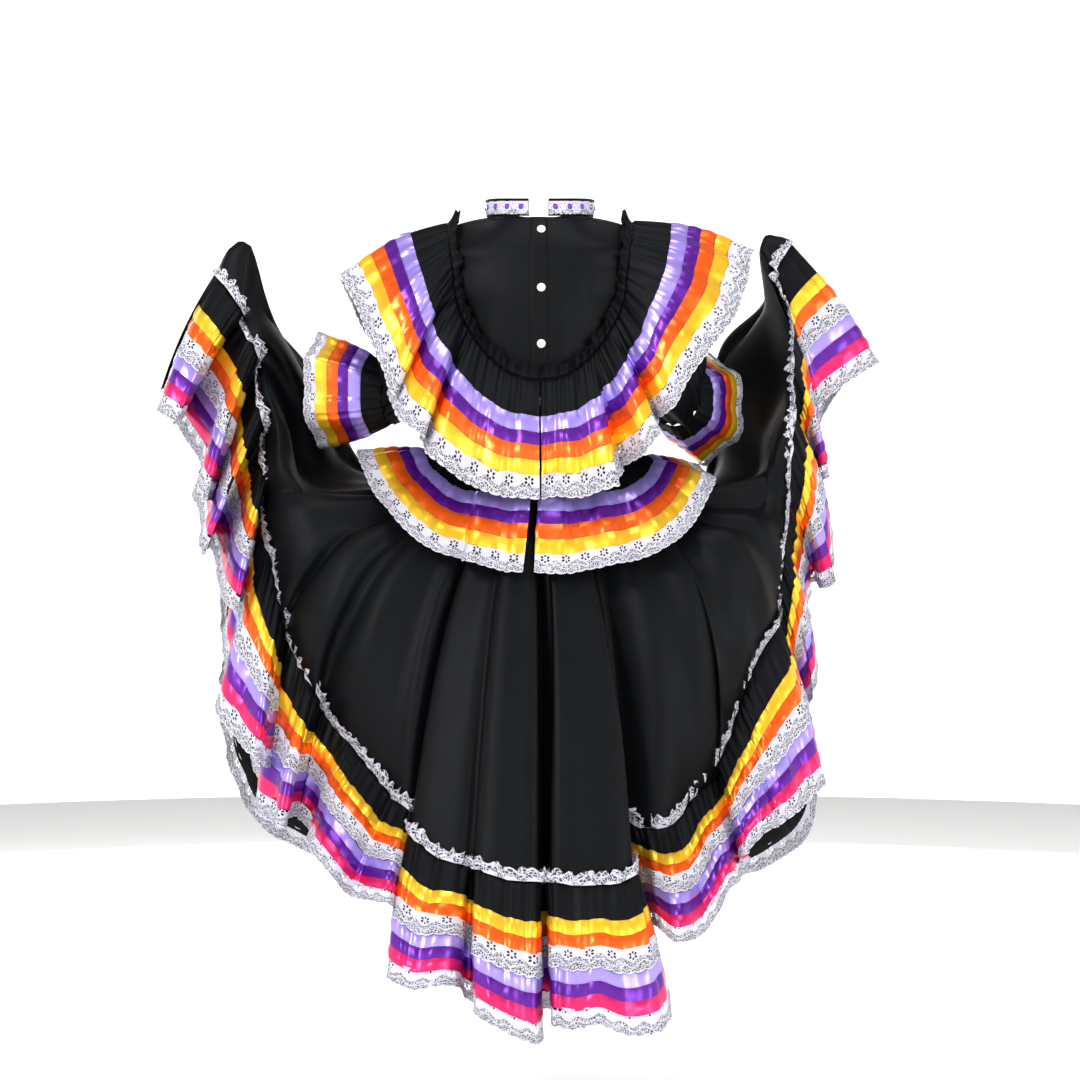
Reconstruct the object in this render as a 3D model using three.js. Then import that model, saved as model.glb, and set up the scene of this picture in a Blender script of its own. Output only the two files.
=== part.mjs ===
// A two-piece jalisco dress, worn: a back-buttoned blouse with a deep gathered
// flounce, elbow sleeves and a peplum, over a lifted circle skirt.
// Millimetres, +Z up, +Y the way the wearer faces, origin inside the waist.
import * as THREE from "three";

// ---- cloth thicknesses and gaps ------------------------------------------
const CLOTH = 1.0;
const RIBBON = 1.0;
const LACE = 1.0;
const LAYER_GAP = 0.4;
const SEAM_GAP = 0.4;
const SKIRT_SEAM_GAP = 4.6;
const CUFF_SEAM_GAP = { left: 4, right: 9.5 };
const SLEEVE_SEAM_GAP = 0.4;
const COLLAR_LIFT = 0.9;
const PEPLUM_TOP_Z = 2;
const TRIM_LIFT = 0.6;

// ---- driving sizes ---------------------------------------------------------
const SKIRT_TOP_Z = -22;
const COLLAR_HEIGHT = 27;
const BUTTON_DIAMETER = 13.5;
const BUTTON_THICKNESS = 2.6;
const PLACKET_WIDTH = 27;
const HEADING_WIDTH = 20;
const SLEEVE_COLUMNS = 12;

// ---- colours ---------------------------------------------------------------
const COLOURS = {
  black: 0x1b1c21,
  lilac: 0xa99ae6,
  purple: 0x6a2299,
  orange: 0xf06a22,
  yellow: 0xf6cf45,
  magenta: 0xd92c70,
  lace: 0xe9e7f2,
  button: 0xf2f0f4,
};

// Where each band starts and ends down a flounce, as a share of its length.
const SKIRT_BANDS = [
  { name: "trim", from: 0.0, to: 0.055, colour: "lace" },
  { name: "cloth", from: 0.055, to: 0.27, colour: "black" },
  { name: "yellow", from: 0.27, to: 0.37, colour: "yellow" },
  { name: "orange", from: 0.37, to: 0.465, colour: "orange" },
  { name: "lace", from: 0.465, to: 0.595, colour: "lace" },
  { name: "lilac", from: 0.595, to: 0.695, colour: "lilac" },
  { name: "purple", from: 0.695, to: 0.79, colour: "purple" },
  { name: "magenta", from: 0.79, to: 0.87, colour: "magenta" },
  { name: "hem_lace", from: 0.87, to: 1.0, colour: "lace" },
];
const BERTHA_BANDS = [
  { name: "cloth", from: 0.0, to: 0.335, colour: "black" },
  { name: "lilac", from: 0.335, to: 0.46, colour: "lilac" },
  { name: "purple", from: 0.46, to: 0.575, colour: "purple" },
  { name: "orange", from: 0.575, to: 0.69, colour: "orange" },
  { name: "yellow", from: 0.69, to: 0.81, colour: "yellow" },
  { name: "lace", from: 0.81, to: 1.0, colour: "lace" },
];
const PEPLUM_BANDS = [
  { name: "cloth", from: 0.0, to: 0.38, colour: "black" },
  { name: "lilac", from: 0.38, to: 0.5, colour: "lilac" },
  { name: "purple", from: 0.5, to: 0.615, colour: "purple" },
  { name: "orange", from: 0.615, to: 0.73, colour: "orange" },
  { name: "yellow", from: 0.73, to: 0.845, colour: "yellow" },
  { name: "lace", from: 0.845, to: 1.0, colour: "lace" },
];
const SLEEVE_BANDS = [
  { name: "cloth", from: 0.0, to: 0.3, colour: "black" },
  { name: "lilac", from: 0.3, to: 0.45, colour: "lilac" },
  { name: "purple", from: 0.45, to: 0.59, colour: "purple" },
  { name: "orange", from: 0.59, to: 0.72, colour: "orange" },
  { name: "yellow", from: 0.72, to: 0.86, colour: "yellow" },
  { name: "lace", from: 0.86, to: 1.0, colour: "lace" },
];

// ---- skirt folds -----------------------------------------------------------
// One row per fold edge, from the left hand round the back to the right hand
// and back round the front: where the edge leaves the ruffle seam and where it
// meets the hem.
// seamX, seamY, seamZ, hemX, hemY, hemZ
const SKIRT_FOLDS = [
  [-516, 5, 301, -605, -50, 81],
  [-481, -18, 249, -566, -110, 52],
  [-479, 8, 228, -593, 70, 87],
  [-451, -26, 174, -517, -120, -66],
  [-453, 5, 148, -557, 60, -47],
  [-442, -42, 70, -522, -130, -150],
  [-443, -12, 38, -543, 50, -136],
  [-436, -48, -33, -467, -150, -242],
  [-439, -20, -64, -485, 40, -212],
  [-430, -62, -128, -498, -120, -389],
  [-403, -84, -253, -418, -185, -476],
  [-400, -55, -273, -456, 15, -465],
  [-390, -84, -288, -435, -128, -543],
  [-345, -132, -372, -383, -235, -562],
  [-341, -110, -386, -382, -150, -552],
  [-292, -160, -438, -347, -200, -587],
  [-272, -178, -464, -343, -305, -583],
  [-246, -200, -493, -304, -345, -625],
  [-224, -215, -516, -276, -325, -653],
  [-202, -238, -530, -225, -370, -659],
  [-191, -232, -539, -207, -305, -681],
  [-176, -198, -554, -175, -232, -678],
  [-190, -282, -565, -212, -400, -762],
  [-148, -312, -596, -172, -425, -772],
  [-113, -318, -605, -127, -400, -773],
  [-98, -305, -610, -105, -360, -798],
  [-91, -338, -608, -90, -445, -805],
  [-51, -352, -621, -49, -465, -827],
  [-4, -356, -624, -3, -465, -843],
  [0, -285, -630, 3, -300, -822],
  [13, -285, -630, 19, -300, -822],
  [17, -356, -624, 24, -455, -820],
  [51, -360, -629, 51, -440, -827],
  [83, -352, -629, 86, -435, -822],
  [112, -348, -628, 128, -445, -835],
  [135, -335, -618, 174, -430, -831],
  [125, -280, -597, 181, -310, -787],
  [123, -205, -541, 150, -200, -735],
  [163, -222, -562, 180, -345, -701],
  [181, -228, -563, 203, -375, -717],
  [208, -212, -552, 239, -350, -703],
  [228, -192, -529, 265, -320, -676],
  [256, -170, -500, 293, -300, -637],
  [282, -130, -472, 321, -215, -625],
  [273, -165, -475, 304, -270, -601],
  [293, -140, -434, 337, -255, -571],
  [311, -118, -380, 371, -225, -554],
  [336, -95, -322, 410, -180, -528],
  [369, -72, -266, 442, -120, -497],
  [374, -42, -242, 419, 30, -421],
  [380, -40, -160, 436, -20, -367],
  [388, -25, -96, 437, 110, -217],
  [399, -12, 55, 473, 20, -183],
  [403, 15, 97, 456, 120, -36],
  [402, 25, 178, 469, 60, -21],
  [402, 55, 232, 452, 150, 55],
  [382, 80, 312, 461, 70, 97],
  [410, 98, 359, 554, 110, 161],
  [399, 125, 331, 505, 180, 126],
  [387, 150, 187, 457, 235, -43],
  [382, 190, -61, 455, 240, -298],
  [368, 225, -246, 455, 275, -419],
  [333, 270, -410, 470, 340, -635],
  [251, 322, -501, 368, 420, -717],
  [157, 350, -542, 228, 380, -713],
  [61, 366, -559, 125, 455, -741],
  [-38, 370, -562, -9, 400, -725],
  [-148, 356, -550, -142, 450, -744],
  [-251, 325, -512, -299, 400, -712],
  [-372, 268, -401, -484, 350, -629],
  [-419, 225, -280, -531, 270, -512],
  [-443, 168, -61, -532, 180, -270],
  [-453, 132, 103, -544, 200, -111],
  [-481, 52, 274, -580, 85, 101],
];
const BACK_SEAM_ROW = 29;
const RIGHT_SEAM_ROW = 56;
const FRONT_SEAM_ROW = 66;

// How the skirt body leaves the straight line from waist to ruffle seam, for
// the rows named here; rows in between are blended. Angle is round the waist,
// 0 at the back centre and +90 at the right; then five offsets down the cloth
// at BODY_SHARES of the line.
// row, angle, x1,y1,z1, x2,y2,z2, x3,y3,z3, x4,y4,z4, x5,y5,z5
const BODY_SHARES = [0.25, 0.45, 0.65, 0.82, 0.93];
const SKIRT_GUIDES = [
  [0, -93, -39, 55, -91, -18, 131, -101, 25, 129, -83, 19, 57, -31, -5, -1, 58],
  [1, -91, -49, 55, -79, -38, 135, -82, -3, 133, -50, -13, 64, 10, -13, 15, 115],
  [2, -88, -50, 40, -74, -59, 110, -88, -22, 100, -42, -22, 32, 31, -12, 11, 26],
  [4, -83, -60, 7, -56, -107, 44, -68, -67, 34, 4, -44, 12, 49, -21, 2, 30],
  [6, -78, -62, -29, -38, -104, -35, -47, -68, -46, -9, -34, -41, 13, -10, -14, 26],
  [10, -66, -45, -41, -15, -72, -71, 6, -56, -71, 7, -32, -49, 6, -14, -21, 2],
  [15, -50, -20, -31, 21, -42, -50, 24, -41, -55, 17, -27, -41, 13, -12, -21, 7],
  [22, -28, -2, -1, 48, -10, 3, 56, -9, 5, 53, -4, 5, 42, 0, 4, 27],
  [29, 0, -1, 6, 59, 2, 8, 74, 3, 9, 72, 2, 11, 66, 1, 9, 37],
  [36, 25, 0, 0, 54, 9, 3, 63, 10, 4, 66, 7, 7, 54, 2, 4, 32],
  [42, 50, 27, -21, 42, 50, -38, 62, 47, -42, 58, 30, -29, 44, 14, -14, 25],
  [48, 68, 41, -38, -13, 75, -62, 20, 63, -62, 19, 38, -43, 10, 17, -21, 3],
  [52, 80, 63, -6, -39, 103, 14, -38, 69, 11, -13, 34, 5, 9, 15, 0, 14],
  [54, 84, 63, 20, -78, 92, 64, -82, 50, 57, -18, 28, 43, 26, 12, 17, 22],
  [55, 87, 63, 38, -94, 67, 100, -92, 28, 88, 7, 24, 54, 52, 10, 21, 36],
  [56, 89, 67, 48, -116, 56, 114, -127, 18, 94, -24, 35, 52, 4, -4, 20, 58],
  [57, 92, 61, 49, -127, 40, 114, -141, -1, 89, -42, 19, 41, -22, -15, 17, 38],
  [58, 96, 64, 52, -124, 43, 111, -129, 6, 82, -21, 30, 34, -3, 15, 13, -1],
  [60, 110, 49, 52, -72, 84, 88, -20, 59, 70, 7, 33, 43, 24, 13, 21, 18],
  [62, 130, 10, 27, -1, 47, 54, 27, 42, 43, 39, 27, 25, 30, 12, 9, 21],
  [66, 182, 13, -19, 33, 19, -22, 30, 14, -17, 23, 6, -9, 15, 2, -5, 9],
  [69, 222, 1, 15, -1, -42, 44, 28, -53, 43, 28, -33, 29, 18, -15, 12, 12],
  [70, 236, -13, 30, -22, -55, 50, 18, -50, 43, 30, -31, 25, 24, -12, 9, 14],
  [71, 248, -37, 32, -42, -81, 55, -20, -62, 42, 7, -37, 16, 24, -14, 0, 22],
  [72, 260, -51, 32, -51, -63, 84, -34, -32, 61, 33, -36, -1, 70, -19, -6, 46],
  [73, 266, -48, 49, -86, -34, 117, -91, 0, 106, -66, -12, 28, -12, -21, 1, 9],
];

// ---- blouse ----------------------------------------------------------------
// Levels of the bodice from the top down to the waist, per half: height and
// depth at the centre line, then the outer edge (side seam or armhole).
// centreZ, centreBackY, centreFrontY, edgeX, edgeBackY, edgeFrontY, edgeZ
const BODICE_LEVELS = [
  [338, -90, 92, 149, -34, 34, 338],
  [300, -100, 112, 146, -42, 42, 300],
  [262, -106, 124, 147, -37, 37, 262],
  [225, -108, 128, 150, -0.4, 0.4, 225],
  [130, -104, 118, 141, -0.4, 0.4, 130],
  [60, -96, 100, 128, -0.4, 0.4, 60],
  [3, -90, 90, 120, -0.4, 0.4, 3],
];
// The neck and shoulder edge of one half, from the centre to the shoulder.
// x, backY, backZ, frontY, frontZ
const NECK_EDGE = [
  [0, -68, 380, 68, 366],
  [50, -55, 382, 55, 371],
  [84, -12, 386, 12, 384],
  [120, -2, 380, 2, 380],
  [152, -0.8, 369, 0.8, 369],
];
// The line the flounce is gathered on, one half, from centre to shoulder.
// x, backY, frontY, z
const YOKE_LINE = [
  [0, -111, 126, 121],
  [25, -110, 125, 124],
  [50, -105, 120, 134],
  [74, -98, 113, 153],
  [94, -90, 104, 176],
  [110, -82, 94, 200],
  [124, -72, 82, 226],
  [133, -74, 82, 258],
  [136, -72, 76, 290],
  [140, -72, 70, 322],
  [145, -50, 50, 352],
  [146, 0, 0, 379],
];
// Fold edges of the flounce, from the back centre over the right shoulder,
// round the front and back over the left shoulder.
// side, place along the yoke line (0 centre, 11 shoulder), hemX, hemY, hemZ
const BERTHA_FOLDS = [
  [1, 0.0, -3, -172, -67],
  [1, 1.0, 25, -160, -62],
  [1, 1.9, 57, -180, -65],
  [1, 2.7, 87, -168, -57],
  [1, 3.2, 115, -180, -49],
  [1, 3.5, 128, -112, -19],
  [1, 4.1, 168, -178, 11],
  [1, 4.9, 184, -168, 34],
  [1, 5.4, 187, -108, 59],
  [1, 6.1, 206, -160, 75],
  [1, 7.0, 233, -145, 123],
  [1, 7.8, 269, -118, 172],
  [1, 8.8, 311, -75, 230],
  [1, 9.9, 328, -35, 276],
  [1, 11, 341, 8, 331],
  [1, 9.4, 326, 66, 262],
  [1, 7.8, 286, 128, 212],
  [1, 6.0, 214, 196, 116],
  [1, 4.2, 146, 196, 10],
  [1, 2.2, 78, 190, -48],
  [1, 0.0, 2, 206, -64],
  [-1, 2.2, -78, 190, -48],
  [-1, 4.4, -152, 198, 8],
  [-1, 6.4, -214, 162, 78],
  [-1, 8.2, -258, 112, 156],
  [-1, 9.6, -300, 58, 240],
  [-1, 11, -322, 2, 298],
  [-1, 9.9, -292, -60, 242],
  [-1, 8.8, -262, -100, 176],
  [-1, 7.8, -228, -142, 94],
  [-1, 7.2, -232, -86, 112],
  [-1, 6.6, -221, -158, 61],
  [-1, 5.6, -182, -175, 28],
  [-1, 5.1, -185, -118, 27],
  [-1, 4.6, -164, -168, -5],
  [-1, 3.8, -128, -178, -32],
  [-1, 2.9, -101, -165, -47],
  [-1, 2.0, -67, -180, -61],
  [-1, 1.1, -38, -166, -64],
  [-1, 0.0, -12, -174, -67],
];
// Fold edges of the peplum, same way round: angle at the waist (0 back centre,
// 90 right side) and hem.
// angle, hemX, hemY, hemZ
const PEPLUM_FOLDS = [
  [1, -8, -196, -180],
  [14, 33, -206, -180],
  [30, 76, -192, -175],
  [40, 118, -206, -167],
  [50, 160, -182, -155],
  [58, 186, -190, -143],
  [66, 222, -150, -122],
  [76, 256, -105, -75],
  [84, 277, -45, -30],
  [91, 258, 5, -11],
  [108, 256, 78, -24],
  [126, 198, 146, -90],
  [146, 124, 190, -138],
  [166, 48, 200, -155],
  [186, -26, 206, -158],
  [206, -104, 190, -146],
  [226, -178, 162, -104],
  [242, -238, 108, -48],
  [257, -276, 52, -6],
  [270, -294, -5, 14],
  [276, -277, -60, -26],
  [284, -247, -110, -72],
  [292, -205, -155, -116],
  [302, -153, -182, -148],
  [312, -121, -170, -159],
  [318, -109, -204, -164],
  [330, -76, -192, -171],
  [344, -49, -205, -177],
  [359, -29, -198, -180],
];
// Sleeve rings from the armhole to the gathering at the elbow: centre, axis
// and half-sizes up and across. The last row is the ruffle's hem ring.
// x, y, z, axisX, axisY, axisZ, halfUp, halfAcross
const SLEEVE_RINGS = {
  left: [
    [-152, 0, 297, -1, 0, 0, 71, 42],
    [-190, 0, 262, -0.9, 0, -0.45, 76, 68],
    [-216, 1, 205, -0.8, 0.05, -0.6, 82, 74],
    [-230, 3, 140, -0.85, 0.1, -0.5, 70, 64],
    [-240, 6, 104, -0.95, 0.24, 0, 46, 44],
    [-356, 36, 115, -0.96, 0.27, 0, 86, 74],
  ],
  right: [
    [152, 0, 297, 1, 0, 0, 71, 42],
    [190, 2, 262, 0.9, 0.05, -0.45, 76, 68],
    [210, 6, 205, 0.75, 0.2, -0.55, 82, 74],
    [214, 12, 145, 0.65, 0.55, -0.45, 70, 64],
    [218, 30, 102, 0.5, 0.86, 0, 46, 44],
    [272, 122, 90, 0.5, 0.86, 0, 86, 70],
  ],
};
const CUFF_WAVE = 7;
const BUTTON_HEIGHTS = [358, 265, 178, 88];

// ---- sheet building --------------------------------------------------------
const vec = (x, y, z) => new THREE.Vector3(x, y, z);

// Blend between rows of numbers at a fractional row number.
function rowAt(rows, place) {
  const low = Math.max(0, Math.min(rows.length - 2, Math.floor(place)));
  const share = place - low;
  return rows[low].map((value, k) => value + (rows[low + 1][k] - value) * share);
}

// Blend between keyed rows; the first number of each row is its key.
function keyedRowAt(rows, key) {
  let low = 0;
  while (low < rows.length - 2 && rows[low + 1][0] <= key) {
    low += 1;
  }
  const share = (key - rows[low][0]) / (rows[low + 1][0] - rows[low][0]);
  return rows[low].map((value, k) => value + (rows[low + 1][k] - value) * share);
}

const MITRE_LIMIT = 2;

// Outward offset directions of a grid of points; columns run anticlockwise seen
// from above and each column runs down the cloth. On a fold the direction is
// longer, so that the wall on both sides of the fold keeps its thickness.
function gridNormals(grid, closed) {
  const columns = grid.length;
  const rows = grid[0].length;
  return grid.map((column, i) =>
    column.map((point, j) => {
      const before = closed ? (i + columns - 1) % columns : Math.max(i - 1, 0);
      const after = closed ? (i + 1) % columns : Math.min(i + 1, columns - 1);
      const above = grid[i][Math.max(j - 1, 0)];
      const below = grid[i][Math.min(j + 1, rows - 1)];
      const down = below.clone().sub(above);
      const sides = [];
      if (before !== i) {
        sides.push(down.clone().cross(point.clone().sub(grid[before][j])).normalize());
      }
      if (after !== i) {
        sides.push(down.clone().cross(grid[after][j].clone().sub(point)).normalize());
      }
      const middle = sides[0].clone().add(sides[sides.length - 1]).normalize();
      return middle.multiplyScalar(1 / Math.max(middle.dot(sides[0]), 1 / MITRE_LIMIT));
    }),
  );
}

// A closed solid between two offsets of a grid of points.
function sheet(grid, normals, low, high, closed) {
  const columns = grid.length;
  const rows = grid[0].length;
  const positions = [];
  for (const offset of [high, low]) {
    for (let i = 0; i < columns; i += 1) {
      for (let j = 0; j < rows; j += 1) {
        const point = grid[i][j].clone().addScaledVector(normals[i][j], offset);
        positions.push(point.x, point.y, point.z);
      }
    }
  }
  const outer = (i, j) => (i % columns) * rows + j;
  const inner = (i, j) => columns * rows + outer(i, j);
  const indices = [];
  const quad = (a, b, c, d) => indices.push(a, b, c, a, c, d);
  const cells = closed ? columns : columns - 1;
  for (let i = 0; i < cells; i += 1) {
    for (let j = 0; j < rows - 1; j += 1) {
      quad(outer(i, j), outer(i, j + 1), outer(i + 1, j + 1), outer(i + 1, j));
      quad(inner(i, j), inner(i + 1, j), inner(i + 1, j + 1), inner(i, j + 1));
    }
    const last = rows - 1;
    quad(outer(i, 0), outer(i + 1, 0), inner(i + 1, 0), inner(i, 0));
    quad(outer(i, last), inner(i, last), inner(i + 1, last), outer(i + 1, last));
  }
  if (!closed) {
    const end = columns - 1;
    for (let j = 0; j < rows - 1; j += 1) {
      quad(outer(0, j), inner(0, j), inner(0, j + 1), outer(0, j + 1));
      quad(outer(end, j), outer(end, j + 1), inner(end, j + 1), inner(end, j));
    }
  }
  const geometry = new THREE.BufferGeometry();
  geometry.setAttribute("position", new THREE.Float32BufferAttribute(positions, 3));
  geometry.setIndex(indices);
  geometry.computeVertexNormals();
  return geometry;
}

function material(colour) {
  return new THREE.MeshStandardMaterial({
    color: COLOURS[colour],
    roughness: colour === "black" || colour === "lace" ? 0.85 : 0.4,
    side: THREE.DoubleSide,
    name: colour,
  });
}

function add(group, name, geometry, colour) {
  const mesh = new THREE.Mesh(geometry, material(colour));
  mesh.name = name;
  group.add(mesh);
}

const BULGE_REACH = 4;

// A flounce: columns of points from the sewn edge to the hem, with a point at
// every band edge, and the outward bulge of the cloth between the two.
function flounceGrid(tops, hems, bands, bulge, closed) {
  const cuts = [bands[0].from, ...bands.map((band) => band.to)];
  const straight = tops.map((top, i) => cuts.map((cut) => top.clone().lerp(hems[i], cut)));
  const normals = gridNormals(straight, closed);
  const count = tops.length;
  return straight.map((column, i) =>
    column.map((point, j) => {
      const out = vec(0, 0, 0);
      for (let step = -BULGE_REACH; step <= BULGE_REACH; step += 1) {
        const near = closed ? (i + step + count) % count : i + step;
        out.add(normals[Math.max(0, Math.min(count - 1, near))][j]);
      }
      out.normalize();
      return point.addScaledVector(out, bulge * Math.sin(Math.PI * cuts[j]));
    }),
  );
}

// Two rows of points of a band, drawn in a little from its edges.
function bandGrid(grid, band, inset) {
  return grid.map((column) => {
    const top = column[band];
    const bottom = column[band + 1];
    const share = inset / top.distanceTo(bottom);
    return [top.clone().lerp(bottom, share), bottom.clone().lerp(top, share)];
  });
}

const bandNormals = (normals, band) => normals.map((column) => [column[band], column[band + 1]]);

const RIBBON_LOW = CLOTH / 2 + LAYER_GAP;

// The black ground of a flounce, up to its last band, or part of it.
function addGround(group, name, grid, normals, lastBand, closed, start = 0, end = grid.length - 1) {
  const rows = lastBand + 1;
  const pick = (table) => {
    const columns = [];
    for (let i = start; i <= end; i += 1) {
      columns.push(table[i % grid.length].slice(0, rows).map((point) => point.clone()));
    }
    return columns;
  };
  const points = pick(grid);
  if (!closed) {
    pullIn(points, SEAM_GAP / 2);
  }
  const half = CLOTH / 2;
  add(group, name, sheet(points, pick(normals), -half, half, closed), "black");
}

// Draw the first and last column of a panel in from its seams.
function pullIn(points, amount) {
  const last = points.length - 1;
  const first = points[0].map((point, j) => towards(point, points[1][j], amount));
  const final = points[last].map((point, j) => towards(point, points[last - 1][j], amount));
  points[0] = first;
  points[last] = final;
}

function towards(point, target, amount) {
  const way = target.clone().sub(point);
  return point.clone().addScaledVector(way.normalize(), amount);
}

// Ribbons and laces laid on the ground; the hem lace hangs below its edge.
function addBands(group, prefix, grid, normals, bands, closed) {
  bands.forEach((band, k) => {
    if (band.name === "cloth") {
      return;
    }
    const isLace = band.colour === "lace";
    const hangs = k === bands.length - 1;
    const thickness = isLace ? LACE : RIBBON;
    const lift = band.name === "trim" ? TRIM_LIFT : 0;
    const low = hangs ? -thickness / 2 : RIBBON_LOW + lift;
    const points = bandGrid(grid, k, SEAM_GAP / 2);
    const geometry = sheet(points, bandNormals(normals, k), low, low + thickness, closed);
    add(group, `${prefix}_${band.name}`, geometry, band.colour);
  });
}

// ---- skirt -----------------------------------------------------------------
function waistPoint(degrees, halfWidth, halfDepth, z) {
  const angle = THREE.MathUtils.degToRad(degrees);
  return vec(halfWidth * Math.sin(angle), -halfDepth * Math.cos(angle), z);
}

function skirtBodyGrid() {
  const count = SKIRT_FOLDS.length;
  return SKIRT_FOLDS.map((row, i) => {
    const guide = keyedRowAt(SKIRT_GUIDES, i);
    const seam = vec(row[0], row[1], row[2]);
    const waist = waistPoint(guide[1], 116, 86, SKIRT_TOP_Z);
    const column = [waist];
    BODY_SHARES.forEach((share, k) => {
      const offset = vec(guide[2 + 3 * k], guide[3 + 3 * k], guide[4 + 3 * k]);
      column.push(waist.clone().lerp(seam, share).add(offset));
    });
    const after = SKIRT_FOLDS[(i + 1) % count];
    const before = SKIRT_FOLDS[(i + count - 1) % count];
    const along = vec(after[0] - before[0], after[1] - before[1], after[2] - before[2]);
    const away = column[5].clone().sub(seam).projectOnPlane(along.normalize());
    column.push(seam.clone().addScaledVector(away.normalize(), SKIRT_SEAM_GAP));
    return column;
  });
}

function addSkirt(group) {
  const body = skirtBodyGrid();
  const bodyNormals = gridNormals(body, true);
  const seams = SKIRT_FOLDS.map((row) => vec(row[0], row[1], row[2]));
  const hems = SKIRT_FOLDS.map((row) => vec(row[3], row[4], row[5]));
  const ruffle = flounceGrid(seams, hems, SKIRT_BANDS, 10, true);
  const ruffleNormals = gridNormals(ruffle, true);
  const rows = SKIRT_FOLDS.length;
  const panels = [
    ["back_left", 0, BACK_SEAM_ROW],
    ["back_right", BACK_SEAM_ROW, RIGHT_SEAM_ROW],
    ["front_right", RIGHT_SEAM_ROW, FRONT_SEAM_ROW],
    ["front_left", FRONT_SEAM_ROW, rows],
  ];
  for (const [side, start, end] of panels) {
    addGround(group, `skirt_${side}`, body, bodyNormals, 6, false, start, end);
    addGround(group, `skirt_ruffle_${side}`, ruffle, ruffleNormals, 8, false, start, end);
  }
  addBands(group, "skirt", ruffle, ruffleNormals, SKIRT_BANDS, true);
  const band = [];
  for (let i = 0; i < 16; i += 1) {
    const degrees = i * 22.5;
    band.push([waistPoint(degrees, 113, 83, 14), waistPoint(degrees, 113, 83, -20)]);
  }
  add(group, "waistband", sheet(band, gridNormals(band, true), -0.8, 0.8, true), "black");
}

// ---- blouse ----------------------------------------------------------------
// One half of the bodice front or back, from the centre out to the side.
function bodiceHalf(side, front) {
  const columns = [];
  for (let s = 0; s < NECK_EDGE.length; s += 1) {
    const angle = (s / (NECK_EDGE.length - 1)) * (Math.PI / 2);
    const neck = NECK_EDGE[s];
    const column = [vec(side * neck[0], front ? neck[3] : neck[1], front ? neck[4] : neck[2])];
    for (const [z, backY, frontY, edgeX, edgeBackY, edgeFrontY, edgeZ] of BODICE_LEVELS) {
      const centreY = front ? frontY : backY;
      const edgeY = front ? edgeFrontY : edgeBackY;
      const y = edgeY + (centreY - edgeY) * Math.cos(angle);
      const height = edgeZ + (z - edgeZ) * Math.cos(angle);
      column.push(vec(side * edgeX * Math.sin(angle), y, height));
    }
    columns.push(column);
  }
  return columns;
}

function addBodice(group) {
  const half = CLOTH / 2;
  const backRight = bodiceHalf(1, false);
  const backLeft = bodiceHalf(-1, false).reverse();
  const frontRight = bodiceHalf(1, true).reverse();
  const frontLeft = bodiceHalf(-1, true);
  const back = [...backLeft, ...backRight.slice(1)];
  const backNormals = gridNormals(back, false);
  const middle = backLeft.length - 1;
  const leftNormals = backNormals.slice(0, middle + 1);
  const rightNormals = backNormals.slice(middle);
  const leftPoints = backLeft.map((column) => column.map((point) => point.clone()));
  const rightPoints = backRight.map((column) => column.map((point) => point.clone()));
  leftPoints[middle] = leftPoints[middle].map((point) => point.add(vec(-SEAM_GAP / 2, 0, 0)));
  rightPoints[0] = rightPoints[0].map((point) => point.add(vec(SEAM_GAP / 2, 0, 0)));
  add(group, "bodice_back_left", sheet(leftPoints, leftNormals, -half, half, false), "black");
  add(group, "bodice_back_right", sheet(rightPoints, rightNormals, -half, half, false), "black");
  const front = [...frontRight, ...frontLeft.slice(1)];
  const frontNormals = gridNormals(front, false);
  add(group, "bodice_front", sheet(front, frontNormals, -half, half, false), "black");

  // The button stand lies over the back opening.
  const centre = backRight[0];
  const stand = [-0.45, 0.55].map((share) =>
    centre.map((point) => point.clone().add(vec(share * PLACKET_WIDTH, 0, 0))),
  );
  const standNormals = gridNormals(stand, false);
  const lift = half + LAYER_GAP;
  add(group, "placket", sheet(stand, standNormals, lift, lift + CLOTH, false), "black");
  BUTTON_HEIGHTS.forEach((z, k) => {
    const heights = centre.map((point) => [point.z, point.y]);
    let row = 0;
    while (row < heights.length - 2 && heights[row + 1][0] > z) {
      row += 1;
    }
    const share = (heights[row][0] - z) / (heights[row][0] - heights[row + 1][0]);
    const y = heights[row][1] + (heights[row + 1][1] - heights[row][1]) * share;
    const rise = heights[row][0] - heights[row + 1][0];
    const run = heights[row][1] - heights[row + 1][1];
    const out = vec(0, -rise, run).normalize();
    const disc = new THREE.CylinderGeometry(
      BUTTON_DIAMETER / 2, BUTTON_DIAMETER / 2, BUTTON_THICKNESS, 12,
    );
    const turn = new THREE.Quaternion().setFromUnitVectors(vec(0, 1, 0), out);
    disc.applyQuaternion(turn);
    const reach = lift + CLOTH + LAYER_GAP + BUTTON_THICKNESS / 2;
    const place = vec(2, y, z).addScaledVector(out, reach);
    disc.translate(place.x, place.y, place.z);
    add(group, `button_${k + 1}`, disc, "button");
  });
}

function neckPoint(degrees, reach, z) {
  const angle = THREE.MathUtils.degToRad(degrees);
  const back = Math.cos(angle) > 0;
  const dip = Math.sin(angle) ** 2;
  const base = back ? 381 + 6 * dip : 368 + 19 * dip;
  return vec((84 + reach) * Math.sin(angle), -(68 + reach) * Math.cos(angle), base + z);
}

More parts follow.
